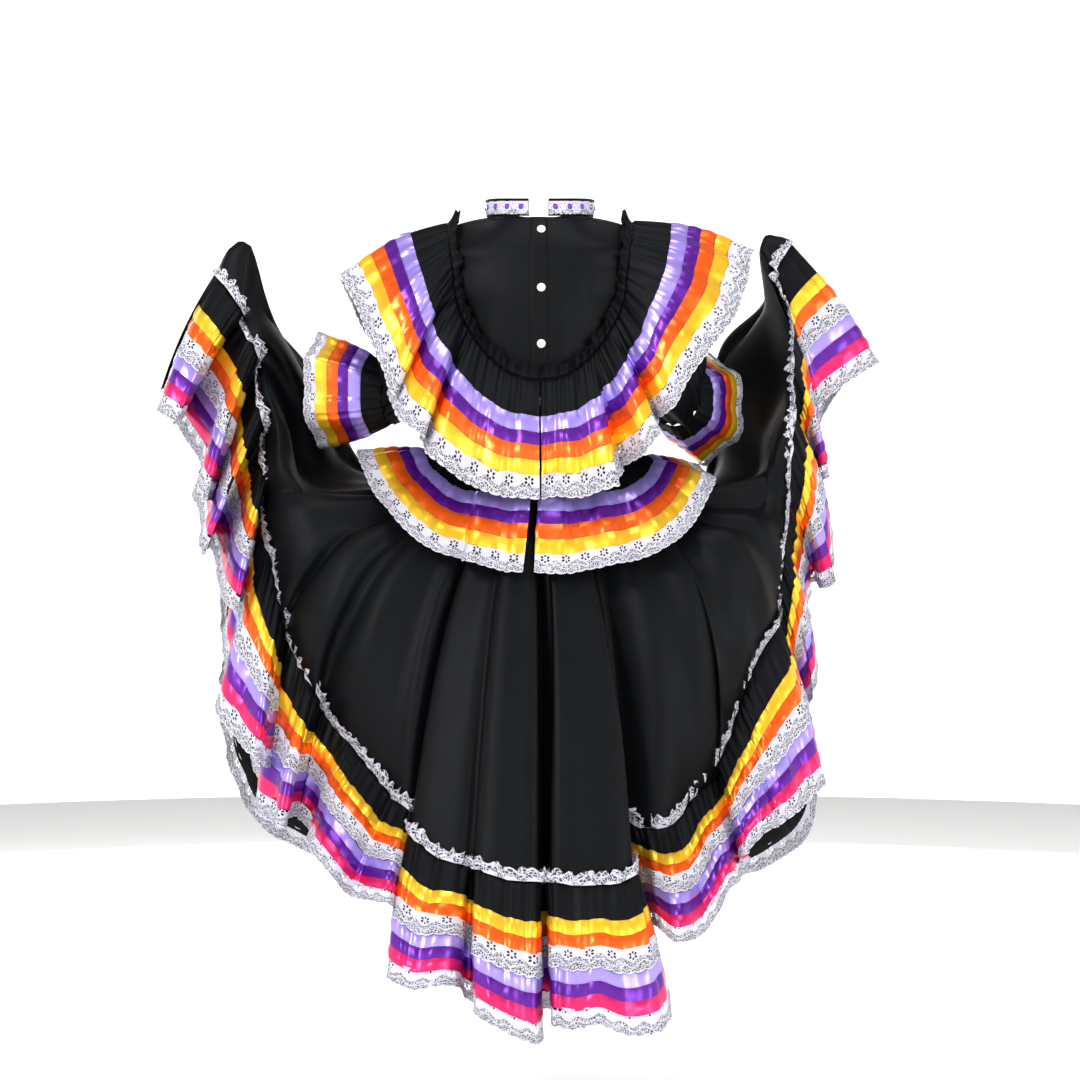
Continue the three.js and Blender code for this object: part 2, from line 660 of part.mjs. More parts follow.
function addCollar(group) {
  const collar = [];
  const ends = [9, 348];
  const count = 18;
  for (let i = 0; i <= count; i += 1) {
    const degrees = ends[0] + ((ends[1] - ends[0]) * i) / count;
    collar.push([
      neckPoint(degrees, 3, COLLAR_LIFT + COLLAR_HEIGHT),
      neckPoint(degrees, 1.5, COLLAR_LIFT + COLLAR_HEIGHT - 4),
      neckPoint(degrees, 0.5, COLLAR_LIFT + 3),
      neckPoint(degrees, 0, COLLAR_LIFT),
    ]);
  }
  const normals = gridNormals(collar, false);
  add(group, "collar", sheet(collar, normals, -0.9, 0.9, false), "black");
  const lace = bandGrid(collar, 1, 0.2);
  const low = 0.9 + LAYER_GAP;
  const laceNormals = bandNormals(normals, 1);
  add(group, "collar_lace", sheet(lace, laceNormals, low, low + LACE, false), "lace");
}

function yokePoint(side, place) {
  const front = side.front;
  const [x, backY, frontY, z] = rowAt(YOKE_LINE, place);
  return vec(side.sign * x, front ? frontY : backY, z);
}

function berthaTops() {
  const shoulderRows = [];
  BERTHA_FOLDS.forEach((row, i) => {
    if (row[1] === 11) {
      shoulderRows.push(i);
    }
  });
  return BERTHA_FOLDS.map((row, i) => {
    const front = i > shoulderRows[0] && i < shoulderRows[1];
    const point = yokePoint({ sign: row[0], front }, row[1]);
    if (i === 0) {
      point.x = 1.2;
    }
    if (i === BERTHA_FOLDS.length - 1) {
      point.x = -1.2;
    }
    return point;
  });
}

function addBertha(group) {
  const tops = berthaTops();
  const hems = BERTHA_FOLDS.map((row) => vec(row[2], row[3], row[4]));
  const grid = flounceGrid(tops, hems, BERTHA_BANDS, 13, false);
  const normals = gridNormals(grid, false);
  addGround(group, "bertha", grid, normals, 5, false);
  addBands(group, "bertha", grid, normals, BERTHA_BANDS, false);

  // The crinkled heading stands up from the gathering line.
  const heading = tops.map((base, i) => {
    const centre = vec(0, base.y, Math.max(330, base.z + 30));
    const inward = centre.sub(base).normalize();
    const rise = Math.max(0, base.z - 300);
    const away = vec(0.35 * base.x, base.y, 1.2 * rise).normalize();
    const crinkle = i % 2 === 0 ? 1 : -1;
    const bottom = base.clone().addScaledVector(inward, 2.5).addScaledVector(away, 2);
    const tip = base.clone().addScaledVector(inward, HEADING_WIDTH + 2 * crinkle);
    return [tip.addScaledVector(away, 12 + 2.5 * crinkle), bottom];
  });
  const headingNormals = gridNormals(heading, false);
  add(group, "bertha_heading", sheet(heading, headingNormals, -0.6, 0.6, false), "black");
}

function addPeplum(group) {
  const tops = PEPLUM_FOLDS.map((row) => waistPoint(row[0], 121, 91, PEPLUM_TOP_Z));
  const hems = PEPLUM_FOLDS.map((row) => vec(row[1], row[2], row[3]));
  const grid = flounceGrid(tops, hems, PEPLUM_BANDS, 10, false);
  const normals = gridNormals(grid, false);
  addGround(group, "peplum", grid, normals, 5, false);
  addBands(group, "peplum", grid, normals, PEPLUM_BANDS, false);
}

// Points round a ring; they run so that a sleeve's outside faces out.
function ringPoints(row, wave) {
  const [x, y, z, ax, ay, az, up, across] = row;
  const axis = vec(ax, ay, az).normalize();
  const first = vec(0, 0, 1).addScaledVector(axis, -axis.z).normalize();
  const second = first.clone().cross(axis);
  const points = [];
  for (let i = 0; i < SLEEVE_COLUMNS; i += 1) {
    const angle = (i / SLEEVE_COLUMNS) * 2 * Math.PI;
    const swell = 1 + (i % 2 === 0 ? wave : -wave) / up;
    const point = vec(x, y, z);
    point.addScaledVector(first, up * swell * Math.cos(angle));
    point.addScaledVector(second, across * swell * Math.sin(angle));
    points.push(point);
  }
  return points;
}

function addSleeve(group, side) {
  const rings = SLEEVE_RINGS[side];
  const body = rings.slice(0, 5).map((row) => ringPoints(row, 0));
  const columns = body[0].map((point, i) => body.map((ring) => ring[i]));
  const away = side === "left" ? -1 : 1;
  columns.forEach((column) => {
    column[0].x += away * SLEEVE_SEAM_GAP;
  });
  const last = rings.length - 1;
  const tops = ringPoints(rings[last - 1], 0);
  const hems = ringPoints(rings[last], CUFF_WAVE);
  const grid = flounceGrid(tops, hems, SLEEVE_BANDS, 6, true);
  columns.forEach((column, i) => {
    column[4] = towards(column[4], column[3], CUFF_SEAM_GAP[side]);
  });
  const half = CLOTH / 2;
  const bodyNormals = gridNormals(columns, true);
  add(group, `sleeve_${side}`, sheet(columns, bodyNormals, -half, half, true), "black");
  const normals = gridNormals(grid, true);
  addGround(group, `sleeve_ruffle_${side}`, grid, normals, 5, true);
  addBands(group, `sleeve_${side}`, grid, normals, SLEEVE_BANDS, true);
}

const dress = new THREE.Group();
dress.name = "jalisco_dress";
addSkirt(dress);
addBodice(dress);
addCollar(dress);
addBertha(dress);
addPeplum(dress);
addSleeve(dress, "left");
addSleeve(dress, "right");

export default dress;
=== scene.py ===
# A back-buttoned jalisco dress in its worn pose: blouse with a deep gathered
# flounce, elbow sleeves and peplum, over a lifted circle skirt with a ruffle.
import math

import bmesh
import bpy
import numpy as np
from mathutils import Matrix, Vector


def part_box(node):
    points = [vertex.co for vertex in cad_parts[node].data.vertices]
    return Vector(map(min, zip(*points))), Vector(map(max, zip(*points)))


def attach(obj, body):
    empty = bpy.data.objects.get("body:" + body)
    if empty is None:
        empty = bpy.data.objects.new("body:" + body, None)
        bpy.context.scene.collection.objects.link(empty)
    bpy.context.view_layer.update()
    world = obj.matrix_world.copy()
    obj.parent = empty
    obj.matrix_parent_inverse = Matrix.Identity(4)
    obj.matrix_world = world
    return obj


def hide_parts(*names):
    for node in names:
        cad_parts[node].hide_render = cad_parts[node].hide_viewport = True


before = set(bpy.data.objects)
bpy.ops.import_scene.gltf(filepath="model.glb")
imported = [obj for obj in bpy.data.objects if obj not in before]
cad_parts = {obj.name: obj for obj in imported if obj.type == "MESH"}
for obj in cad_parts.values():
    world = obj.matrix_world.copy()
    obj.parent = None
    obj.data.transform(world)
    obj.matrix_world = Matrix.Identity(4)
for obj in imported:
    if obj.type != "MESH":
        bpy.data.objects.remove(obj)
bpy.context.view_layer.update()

bl_info = {
    "name": "Jalisco dress",
    "version": (1, 0, 0),
    "blender": (4, 5, 0),
    "location": "3D View > Sidebar > Dress",
    "description": "Makes a jalisco dress of black cloth, satin ribbon and eyelet lace over its solids",
    "category": "Add Mesh",
}

BODY = "root"
MM = 0.001

# ---- colours, as sRGB hex ----------------------------------------------------
HEX = {
    "black": "#05070a",
    "lilac": "#a48fe6",
    "purple": "#5c1690",
    "orange": "#f9600f",
    "yellow": "#fbc32a",
    "magenta": "#dc1e66",
    "lace": "#d2d0dc",
    "button": "#f0eef2",
    "gem": "#6a1fb0",
    "floor": "#fbfbfa",
}

# ---- bands down a flounce, as shares of its length -------------------------------
# name, from, to
SKIRT_BANDS = (
    ("trim", 0.0, 0.055),
    ("cloth", 0.055, 0.27),
    ("yellow", 0.27, 0.37),
    ("orange", 0.37, 0.465),
    ("lace", 0.465, 0.595),
    ("lilac", 0.595, 0.695),
    ("purple", 0.695, 0.79),
    ("magenta", 0.79, 0.87),
    ("hem_lace", 0.87, 1.0),
)
BERTHA_BANDS = (
    ("cloth", 0.0, 0.335),
    ("lilac", 0.335, 0.46),
    ("purple", 0.46, 0.575),
    ("orange", 0.575, 0.69),
    ("yellow", 0.69, 0.81),
    ("lace", 0.81, 1.0),
)
PEPLUM_BANDS = (
    ("cloth", 0.0, 0.38),
    ("lilac", 0.38, 0.5),
    ("purple", 0.5, 0.615),
    ("orange", 0.615, 0.73),
    ("yellow", 0.73, 0.845),
    ("lace", 0.845, 1.0),
)
SLEEVE_BANDS = (
    ("cloth", 0.0, 0.3),
    ("lilac", 0.3, 0.45),
    ("purple", 0.45, 0.59),
    ("orange", 0.59, 0.72),
    ("yellow", 0.72, 0.86),
    ("lace", 0.86, 1.0),
)

# ---- skirt -------------------------------------------------------------------
# One row per fold edge: where it leaves the ruffle seam, and where it meets the
# hem, in millimetres, from the left hand round the back to the right hand.
SKIRT_FOLDS = [
    [-516, 5, 301, -605, -50, 81],
    [-481, -18, 249, -566, -110, 52],
    [-479, 8, 228, -593, 70, 87],
    [-451, -26, 174, -517, -120, -66],
    [-453, 5, 148, -557, 60, -47],
    [-442, -42, 70, -522, -130, -150],
    [-443, -12, 38, -543, 50, -136],
    [-436, -48, -33, -467, -150, -242],
    [-439, -20, -64, -485, 40, -212],
    [-430, -62, -128, -498, -120, -389],
    [-403, -84, -253, -418, -185, -476],
    [-400, -55, -273, -456, 15, -465],
    [-390, -84, -288, -435, -128, -543],
    [-345, -132, -372, -383, -235, -562],
    [-341, -110, -386, -382, -150, -552],
    [-292, -160, -438, -347, -200, -587],
    [-272, -178, -464, -343, -305, -583],
    [-246, -200, -493, -304, -345, -625],
    [-224, -215, -516, -276, -325, -653],
    [-202, -238, -530, -225, -370, -659],
    [-191, -232, -539, -207, -305, -681],
    [-176, -198, -554, -175, -232, -678],
    [-190, -282, -565, -212, -400, -762],
    [-148, -312, -596, -172, -425, -772],
    [-113, -318, -605, -127, -400, -773],
    [-98, -305, -610, -105, -360, -798],
    [-91, -338, -608, -90, -445, -805],
    [-51, -352, -621, -49, -465, -827],
    [-4, -356, -624, -3, -465, -843],
    [0, -285, -630, 3, -300, -822],
    [13, -285, -630, 19, -300, -822],
    [17, -356, -624, 24, -455, -820],
    [51, -360, -629, 51, -440, -827],
    [83, -352, -629, 86, -435, -822],
    [112, -348, -628, 128, -445, -835],
    [135, -335, -618, 174, -430, -831],
    [125, -280, -597, 181, -310, -787],
    [123, -205, -541, 150, -200, -735],
    [163, -222, -562, 180, -345, -701],
    [181, -228, -563, 203, -375, -717],
    [208, -212, -552, 239, -350, -703],
    [228, -192, -529, 265, -320, -676],
    [256, -170, -500, 293, -300, -637],
    [282, -130, -472, 321, -215, -625],
    [273, -165, -475, 304, -270, -601],
    [293, -140, -434, 337, -255, -571],
    [311, -118, -380, 371, -225, -554],
    [336, -95, -322, 410, -180, -528],
    [369, -72, -266, 442, -120, -497],
    [374, -42, -242, 419, 30, -421],
    [380, -40, -160, 436, -20, -367],
    [388, -25, -96, 437, 110, -217],
    [399, -12, 55, 473, 20, -183],
    [403, 15, 97, 456, 120, -36],
    [402, 25, 178, 469, 60, -21],
    [402, 55, 232, 452, 150, 55],
    [382, 80, 312, 461, 70, 97],
    [410, 98, 359, 554, 110, 161],
    [399, 125, 331, 505, 180, 126],
    [387, 150, 187, 457, 235, -43],
    [382, 190, -61, 455, 240, -298],
    [368, 225, -246, 455, 275, -419],
    [333, 270, -410, 470, 340, -635],
    [251, 322, -501, 368, 420, -717],
    [157, 350, -542, 228, 380, -713],
    [61, 366, -559, 125, 455, -741],
    [-38, 370, -562, -9, 400, -725],
    [-148, 356, -550, -142, 450, -744],
    [-251, 325, -512, -299, 400, -712],
    [-372, 268, -401, -484, 350, -629],
    [-419, 225, -280, -531, 270, -512],
    [-443, 168, -61, -532, 180, -270],
    [-453, 132, 103, -544, 200, -111],
    [-481, 52, 274, -580, 85, 101],
]
BACK_SEAM_ROW = 29
RIGHT_SEAM_ROW = 56
FRONT_SEAM_ROW = 66
PANELS = (
    ("back_left", 0, BACK_SEAM_ROW),
    ("back_right", BACK_SEAM_ROW, RIGHT_SEAM_ROW),
    ("front_right", RIGHT_SEAM_ROW, FRONT_SEAM_ROW),
    ("front_left", FRONT_SEAM_ROW, len(SKIRT_FOLDS)),
)
# How the skirt leaves the straight line from waist to seam, at the rows named:
# row, angle round the waist, then five offsets x, y, z.
BODY_SHARES = (0.25, 0.45, 0.65, 0.82, 0.93)
SKIRT_SHARES = (0.0, *BODY_SHARES, 1.0)
SKIRT_GUIDES = [
    [0, -93, -39, 55, -91, -18, 131, -101, 25, 129, -83, 19, 57, -31, -5, -1, 58],
    [1, -91, -49, 55, -79, -38, 135, -82, -3, 133, -50, -13, 64, 10, -13, 15, 115],
    [2, -88, -50, 40, -74, -59, 110, -88, -22, 100, -42, -22, 32, 31, -12, 11, 26],
    [4, -83, -60, 7, -56, -107, 44, -68, -67, 34, 4, -44, 12, 49, -21, 2, 30],
    [6, -78, -62, -29, -38, -104, -35, -47, -68, -46, -9, -34, -41, 13, -10, -14, 26],
    [10, -66, -45, -41, -15, -72, -71, 6, -56, -71, 7, -32, -49, 6, -14, -21, 2],
    [15, -50, -20, -31, 21, -42, -50, 24, -41, -55, 17, -27, -41, 13, -12, -21, 7],
    [22, -28, -2, -1, 48, -10, 3, 56, -9, 5, 53, -4, 5, 42, 0, 4, 27],
    [29, 0, -1, 6, 59, 2, 8, 74, 3, 9, 72, 2, 11, 66, 1, 9, 37],
    [36, 25, 0, 0, 54, 9, 3, 63, 10, 4, 66, 7, 7, 54, 2, 4, 32],
    [42, 50, 27, -21, 42, 50, -38, 62, 47, -42, 58, 30, -29, 44, 14, -14, 25],
    [48, 68, 41, -38, -13, 75, -62, 20, 63, -62, 19, 38, -43, 10, 17, -21, 3],
    [52, 80, 63, -6, -39, 103, 14, -38, 69, 11, -13, 34, 5, 9, 15, 0, 14],
    [54, 84, 63, 20, -78, 92, 64, -82, 50, 57, -18, 28, 43, 26, 12, 17, 22],
    [55, 87, 63, 38, -94, 67, 100, -92, 28, 88, 7, 24, 54, 52, 10, 21, 36],
    [56, 89, 67, 48, -116, 56, 114, -127, 18, 94, -24, 35, 52, 4, -4, 20, 58],
    [57, 92, 61, 49, -127, 40, 114, -141, -1, 89, -42, 19, 41, -22, -15, 17, 38],
    [58, 96, 64, 52, -124, 43, 111, -129, 6, 82, -21, 30, 34, -3, 15, 13, -1],
    [60, 110, 49, 52, -72, 84, 88, -20, 59, 70, 7, 33, 43, 24, 13, 21, 18],
    [62, 130, 10, 27, -1, 47, 54, 27, 42, 43, 39, 27, 25, 30, 12, 9, 21],
    [66, 182, 13, -19, 33, 19, -22, 30, 14, -17, 23, 6, -9, 15, 2, -5, 9],
    [69, 222, 1, 15, -1, -42, 44, 28, -53, 43, 28, -33, 29, 18, -15, 12, 12],
    [70, 236, -13, 30, -22, -55, 50, 18, -50, 43, 30, -31, 25, 24, -12, 9, 14],
    [71, 248, -37, 32, -42, -81, 55, -20, -62, 42, 7, -37, 16, 24, -14, 0, 22],
    [72, 260, -51, 32, -51, -63, 84, -34, -32, 61, 33, -36, -1, 70, -19, -6, 46],
    [73, 266, -48, 49, -86, -34, 117, -91, 0, 106, -66, -12, 28, -12, -21, 1, 9],
]

# ---- blouse ------------------------------------------------------------------
# height and depth at the centre line, then the outer edge, per level
BODICE_LEVELS = [
    [338, -90, 92, 149, -34, 34, 338],
    [300, -100, 112, 146, -42, 42, 300],
    [262, -106, 124, 147, -37, 37, 262],
    [225, -108, 128, 150, -0.4, 0.4, 225],
    [130, -104, 118, 141, -0.4, 0.4, 130],
    [60, -96, 100, 128, -0.4, 0.4, 60],
    [3, -90, 90, 120, -0.4, 0.4, 3],
]
# x, back y, back z, front y, front z
NECK_EDGE = [
    [0, -68, 380, 68, 366],
    [50, -55, 382, 55, 371],
    [84, -12, 386, 12, 384],
    [120, -2, 380, 2, 380],
    [152, -0.8, 369, 0.8, 369],
]
# x, back y, front y, z along the gathering line of the flounce
YOKE_LINE = [
    [0, -111, 126, 121],
    [25, -110, 125, 124],
    [50, -105, 120, 134],
    [74, -98, 113, 153],
    [94, -90, 104, 176],
    [110, -82, 94, 200],
    [124, -72, 82, 226],
    [133, -74, 82, 258],
    [136, -72, 76, 290],
    [140, -72, 70, 322],
    [145, -50, 50, 352],
    [146, 0, 0, 379],
]
# side, place along the gathering line, hem x, y, z
BERTHA_FOLDS = [
    [1, 0.0, -3, -172, -67],
    [1, 1.0, 25, -160, -62],
    [1, 1.9, 57, -180, -65],
    [1, 2.7, 87, -168, -57],
    [1, 3.2, 115, -180, -49],
    [1, 3.5, 128, -112, -19],
    [1, 4.1, 168, -178, 11],
    [1, 4.9, 184, -168, 34],
    [1, 5.4, 187, -108, 59],
    [1, 6.1, 206, -160, 75],
    [1, 7.0, 233, -145, 123],
    [1, 7.8, 269, -118, 172],
    [1, 8.8, 311, -75, 230],
    [1, 9.9, 328, -35, 276],
    [1, 11, 341, 8, 331],
    [1, 9.4, 326, 66, 262],
    [1, 7.8, 286, 128, 212],
    [1, 6.0, 214, 196, 116],
    [1, 4.2, 146, 196, 10],
    [1, 2.2, 78, 190, -48],
    [1, 0.0, 2, 206, -64],
    [-1, 2.2, -78, 190, -48],
    [-1, 4.4, -152, 198, 8],
    [-1, 6.4, -214, 162, 78],
    [-1, 8.2, -258, 112, 156],
    [-1, 9.6, -300, 58, 240],
    [-1, 11, -322, 2, 298],
    [-1, 9.9, -292, -60, 242],
    [-1, 8.8, -262, -100, 176],
    [-1, 7.8, -228, -142, 94],
    [-1, 7.2, -232, -86, 112],
    [-1, 6.6, -221, -158, 61],
    [-1, 5.6, -182, -175, 28],
    [-1, 5.1, -185, -118, 27],
    [-1, 4.6, -164, -168, -5],
    [-1, 3.8, -128, -178, -32],
    [-1, 2.9, -101, -165, -47],
    [-1, 2.0, -67, -180, -61],
    [-1, 1.1, -38, -166, -64],
    [-1, 0.0, -12, -174, -67],
]
# angle at the waist, hem x, y, z
PEPLUM_FOLDS = [
    [1, -8, -196, -180],
    [14, 33, -206, -180],
    [30, 76, -192, -175],
    [40, 118, -206, -167],
    [50, 160, -182, -155],
    [58, 186, -190, -143],
    [66, 222, -150, -122],
    [76, 256, -105, -75],
    [84, 277, -45, -30],
    [91, 258, 5, -11],
    [108, 256, 78, -24],
    [126, 198, 146, -90],
    [146, 124, 190, -138],
    [166, 48, 200, -155],
    [186, -26, 206, -158],
    [206, -104, 190, -146],
    [226, -178, 162, -104],
    [242, -238, 108, -48],
    [257, -276, 52, -6],
    [270, -294, -5, 14],
    [276, -277, -60, -26],
    [284, -247, -110, -72],
    [292, -205, -155, -116],
    [302, -153, -182, -148],
    [312, -121, -170, -159],
    [318, -109, -204, -164],
    [330, -76, -192, -171],
    [344, -49, -205, -177],
    [359, -29, -198, -180],
]
# centre, axis, half size up and across, from armhole to elbow, then the cuff hem
SLEEVE_RINGS = {
    "left": [
      [-152, 0, 297, -1, 0, 0, 71, 42],
      [-190, 0, 262, -0.9, 0, -0.45, 76, 68],
      [-216, 1, 205, -0.8, 0.05, -0.6, 82, 74],
      [-230, 3, 140, -0.85, 0.1, -0.5, 70, 64],
      [-240, 6, 104, -0.95, 0.24, 0, 46, 44],
      [-356, 36, 115, -0.96, 0.27, 0, 86, 74],
    ],
    "right": [
      [152, 0, 297, 1, 0, 0, 71, 42],
      [190, 2, 262, 0.9, 0.05, -0.45, 76, 68],
      [210, 6, 205, 0.75, 0.2, -0.55, 82, 74],
      [214, 12, 145, 0.65, 0.55, -0.45, 70, 64],
      [218, 30, 102, 0.5, 0.86, 0, 46, 44],
      [272, 122, 90, 0.5, 0.86, 0, 86, 70],
    ],
}

# ---- single sizes, in millimetres ----------------------------------------------
SKIRT_TOP_Z = -22
SKIRT_TOP_HALF = (116, 86)
WAISTBAND_HALF = (113, 83)
PEPLUM_TOP_Z = 2
PEPLUM_TOP_HALF = (121, 91)
NECK_HALF = (84, 68)
NECK_BACK_Z = 381
NECK_FRONT_Z = 368
NECK_SIDE_Z = 387
COLLAR_HEIGHT = 27
COLLAR_LIFT = 0.9
CUFF_WAVE = 7

# ---- single sizes, in metres -------------------------------------------------------
COLLAR_WALL = 0.0018
PLACKET_WALL = 0.0009
RUFFLE_BULGE = 0.010
BERTHA_BULGE = 0.013
PEPLUM_BULGE = 0.010
CUFF_BULGE = 0.006
BERTHA_HALF_SLIT = (0.0005, 0.0012)
ARMHOLE_GAP = 0.0015
CRINKLE_PITCH = 0.0155
FINE_CRINKLE_PITCH = 0.0068
HOLE_SPACING = 0.0026
HOLE_RADIUS = 0.00075
GEM_SPACING = 0.024
# foot radius, top radius, height, and how far up the middle of each layer lies
GEM_LAYERS = ((0.0046, 0.0042, 0.0010, 0.0), (0.0042, 0.0024, 0.0016, 0.0013))

BUTTON_COUNT = 4
SLEEVE_COLUMNS = 12
SLEEVE_SHARES = (0, 0.2, 0.45, 0.75, 1)

# ---- gathers -------------------------------------------------------------------
# pitch in metres along the gathering line, then the depth of the wave in metres
# at the seam, half way down and at the hem
RUFFLE_WAVES = (
    (0.017, 0.0022, 0.0007, 0.0004),
    (0.031, 0.0022, 0.0016, 0.0012),
    (0.088, 0.0015, 0.0075, 0.0105),
)
SKIRT_WAVES = (
    (0.110, 0.0016, 0.0060, 0.0045),
    (0.270, 0.0, 0.0090, 0.0040),
)
BERTHA_WAVES = (
    (0.013, 0.0024, 0.0006, 0.0003),
    (0.024, 0.0022, 0.0014, 0.0010),
    (0.060, 0.0010, 0.0040, 0.0060),
)
PEPLUM_WAVES = (
    (0.012, 0.0018, 0.0006, 0.0004),
    (0.026, 0.0014, 0.0013, 0.0010),
    (0.070, 0.0008, 0.0030, 0.0050),
)
CUFF_WAVES = (
    (0.010, 0.0018, 0.0008, 0.0005),
    (0.022, 0.0014, 0.0016, 0.0020),
)
SLEEVE_WAVES = (
    (0.019, 0.0035, 0.0008, 0.0040),
    (0.047, 0.0015, 0.0045, 0.0030),
)
BODICE_WAVES = (
    (0.085, 0.0, 0.0008, 0.0018),
    (0.032, 0.0, 0.0003, 0.0012),
)
WAISTBAND_WAVES = ((0.012, 0.0, 0.0004, 0.0),)
RIBBON_PUCKER = (
    (0.011, 0.0002, 0.00055, 0.0002),
    (0.026, 0.0004, 0.00110, 0.0004),
)
NO_WAVES = ()

# ---- how far apart the points of a smooth cloth lie, in metres --------------------
SKIRT_STEP = 0.009
RUFFLE_STEP = 0.0036
FLOUNCE_STEP = 0.0032
CUFF_STEP = 0.0028
SLEEVE_STEP = 0.0035
BODICE_STEP = 0.006
COLLAR_STEP = 0.003
HEADING_STEP = 0.0022

# ---- ribbon and lace, in millimetres -----------------------------------------------
RIBBON_WIDTH = 24
LACE_WIDTH = 34
LACE_REPEAT = 33
TRIM_WIDTH = 13
TRIM_REPEAT = 12
COLLAR_LACE_WIDTH = 20
COLLAR_LACE_REPEAT = 24
# The ruched edging, in metres: frill pitch, height, drop below the seam, stand off it,
# and the shift that puts the net of the lace pattern on it.
FRILL_PITCH = 0.017
TRIM_HEIGHT = 0.0172
TRIM_DROP = 0.0048
TRIM_STAND = 0.0062
TRIM_NET_SHIFT = 0.0135
# Laps between neighbouring bands, as shares of the flounce's length.
RIBBON_LAP = 0.004
LACE_TUCK = 0.006
LACE_FALL = 0.022
# Height off the cloth, in metres.
RIBBON_LIFT = 0.0010
RIBBON_OVERLAP_LIFT = 0.0003
RIBBON_CROWN = 0.0011
LACE_LIFT = 0.0010
LACE_LIFT_OVER_RIBBON = 0.0024
LACE_FLARE = 0.0012
# The last part of the flounce shows only lace, so its black ground ends inside it.
GROUND_UNDER_LACE = 0.02

# ---- flat width and length of each cut piece before sewing, in millimetres ---------
CUT_SIZES = {
    "bertha_heading": (23, 1730),
    "bertha_lace": (34, 2600),
    "bertha_lilac": (24, 2100),
    "bertha_orange": (24, 2280),
    "bertha": (162, 1950),
    "bertha_purple": (24, 2100),
    "bertha_yellow": (24, 2580),
    "bodice_back_left": (192, 380),
    "bodice_back_right": (192, 380),
    "bodice_front": (412, 370),
    "collar_lace": (20, 460),
    "collar": (27, 490),
    "peplum_lace": (34, 1300),
    "peplum_lilac": (24, 1160),
    "peplum_orange": (24, 1370),
    "peplum": (154, 1150),
    "peplum_purple": (24, 1240),
    "peplum_yellow": (24, 1520),
    "placket": (27, 380),
    "skirt_back_left": (531, 790),
    "skirt_back_right": (509, 750),
    "skirt_front_left": (536, 530),
    "skirt_front_right": (532, 520),
    "skirt_hem_lace": (34, 6280),
    "skirt_lace": (34, 5710),
    "skirt_lilac": (24, 6900),
    "skirt_magenta": (24, 6450),
    "skirt_orange": (24, 5690),
    "skirt_purple": (24, 7010),
    "skirt_ruffle_back_left": (191, 2410),
    "skirt_ruffle_back_right": (184, 1620),
    "skirt_ruffle_front_left": (207, 1060),
    "skirt_ruffle_front_right": (211, 1070),
    "skirt_trim": (18, 6850),
    "skirt_yellow": (24, 5630),
    "sleeve_left_lace": (34, 270),
    "sleeve_left_lilac": (24, 340),
    "sleeve_left_orange": (24, 360),
    "sleeve_left": (237, 420),
    "sleeve_left_purple": (24, 350),
    "sleeve_left_yellow": (24, 420),
    "sleeve_right_lace": (34, 240),
    "sleeve_right_lilac": (24, 300),
    "sleeve_right_orange": (24, 320),
    "sleeve_right": (244, 400),
    "sleeve_right_purple": (24, 310),
    "sleeve_right_yellow": (24, 370),
    "sleeve_ruffle_left": (109, 420),
    "sleeve_ruffle_right": (98, 420),
    "waistband": (34, 650),
}

# ---- stage, in metres ---------------------------------------------------------------
FLOOR_Z = -1.0
FLOOR_RADIUS = 4.6
FLOOR_CURVE = 1.6
WALL_TOP = 5.5
CAMERA_PLACE = (0.0, -4.0, -0.128)
CAMERA_LENS = 83.3
CAMERA_SENSOR = 36
LIGHTS_AIM = (0.0, 0.0, -0.15)
# name, place, width and height, watts
LIGHTS = (
    ("key", (-2.2, -3.0, 2.2), (0.7, 1.1), 82),
    ("fill", (2.8, -2.8, 0.7), (0.6, 1.8), 34),
    ("top", (0.2, -0.9, 3.2), (1.8, 1.0), 42),
    ("back", (-1.8, 3.4, 1.6), (1.6, 1.6), 55),
)

RIBBON_COLOURS = ("lilac", "purple", "orange", "yellow", "magenta")
FINISHES = {}
MATH = "ShaderNodeMath"


# ---- smooth cloth --------------------------------------------------------------
def steady(x, seed):
    """A smooth random value between -1 and 1 along x, the same on every run."""
    values = np.random.default_rng(seed).uniform(-1.0, 1.0, 512)
    low = np.floor(x).astype(int)
    share = x - low
    share = share * share * (3.0 - 2.0 * share)
    return values[low % 512] * (1.0 - share) + values[(low + 1) % 512] * share


def smooth_rows(table, lengths, places, closed):
    """Points of a smooth curve through the rows of a table, at fractional rows."""
    count = len(table)
    spans = count if closed else count - 1
    low = np.floor(places).astype(int)
    if not closed:
        low = np.clip(low, 0, spans - 1)
    shape = (-1,) + (1,) * (table.ndim - 1)

    def row(k):
        return table[k % count] if closed else table[np.clip(k, 0, count - 1)]

    def gap(k):
        return (lengths[k % spans] if closed else lengths[np.clip(k, 0, spans - 1)]).reshape(shape)

    h0, h1, h2 = gap(low - 1), gap(low), gap(low + 1)
    p0, p1, p2, p3 = row(low - 1), row(low), row(low + 1), row(low + 2)
    slope1 = (h1 * (p1 - p0) / h0 + h0 * (p2 - p1) / h1) / (h0 + h1)
    slope2 = (h2 * (p2 - p1) / h1 + h1 * (p3 - p2) / h2) / (h1 + h2)
    t = (places - low).reshape(shape)
    t2, t3 = t * t, t * t * t
    return (
        (2 * t3 - 3 * t2 + 1) * p1
        + (t3 - 2 * t2 + t) * h1 * slope1
        + (3 * t2 - 2 * t3) * p2
        + (t3 - t2) * h1 * slope2
    )


def grid_normals(points, closed):
    """Outward unit normals of a grid whose columns run anticlockwise from above."""
    across = np.gradient(points, axis=0)
    if closed:
        join = points[1] - points[-2]
        across[0] = join
        across[-1] = join
    down = np.gradient(points, axis=1)
    normals = np.cross(down, across)
    return normals / np.maximum(np.linalg.norm(normals, axis=2, keepdims=True), 1e-12)


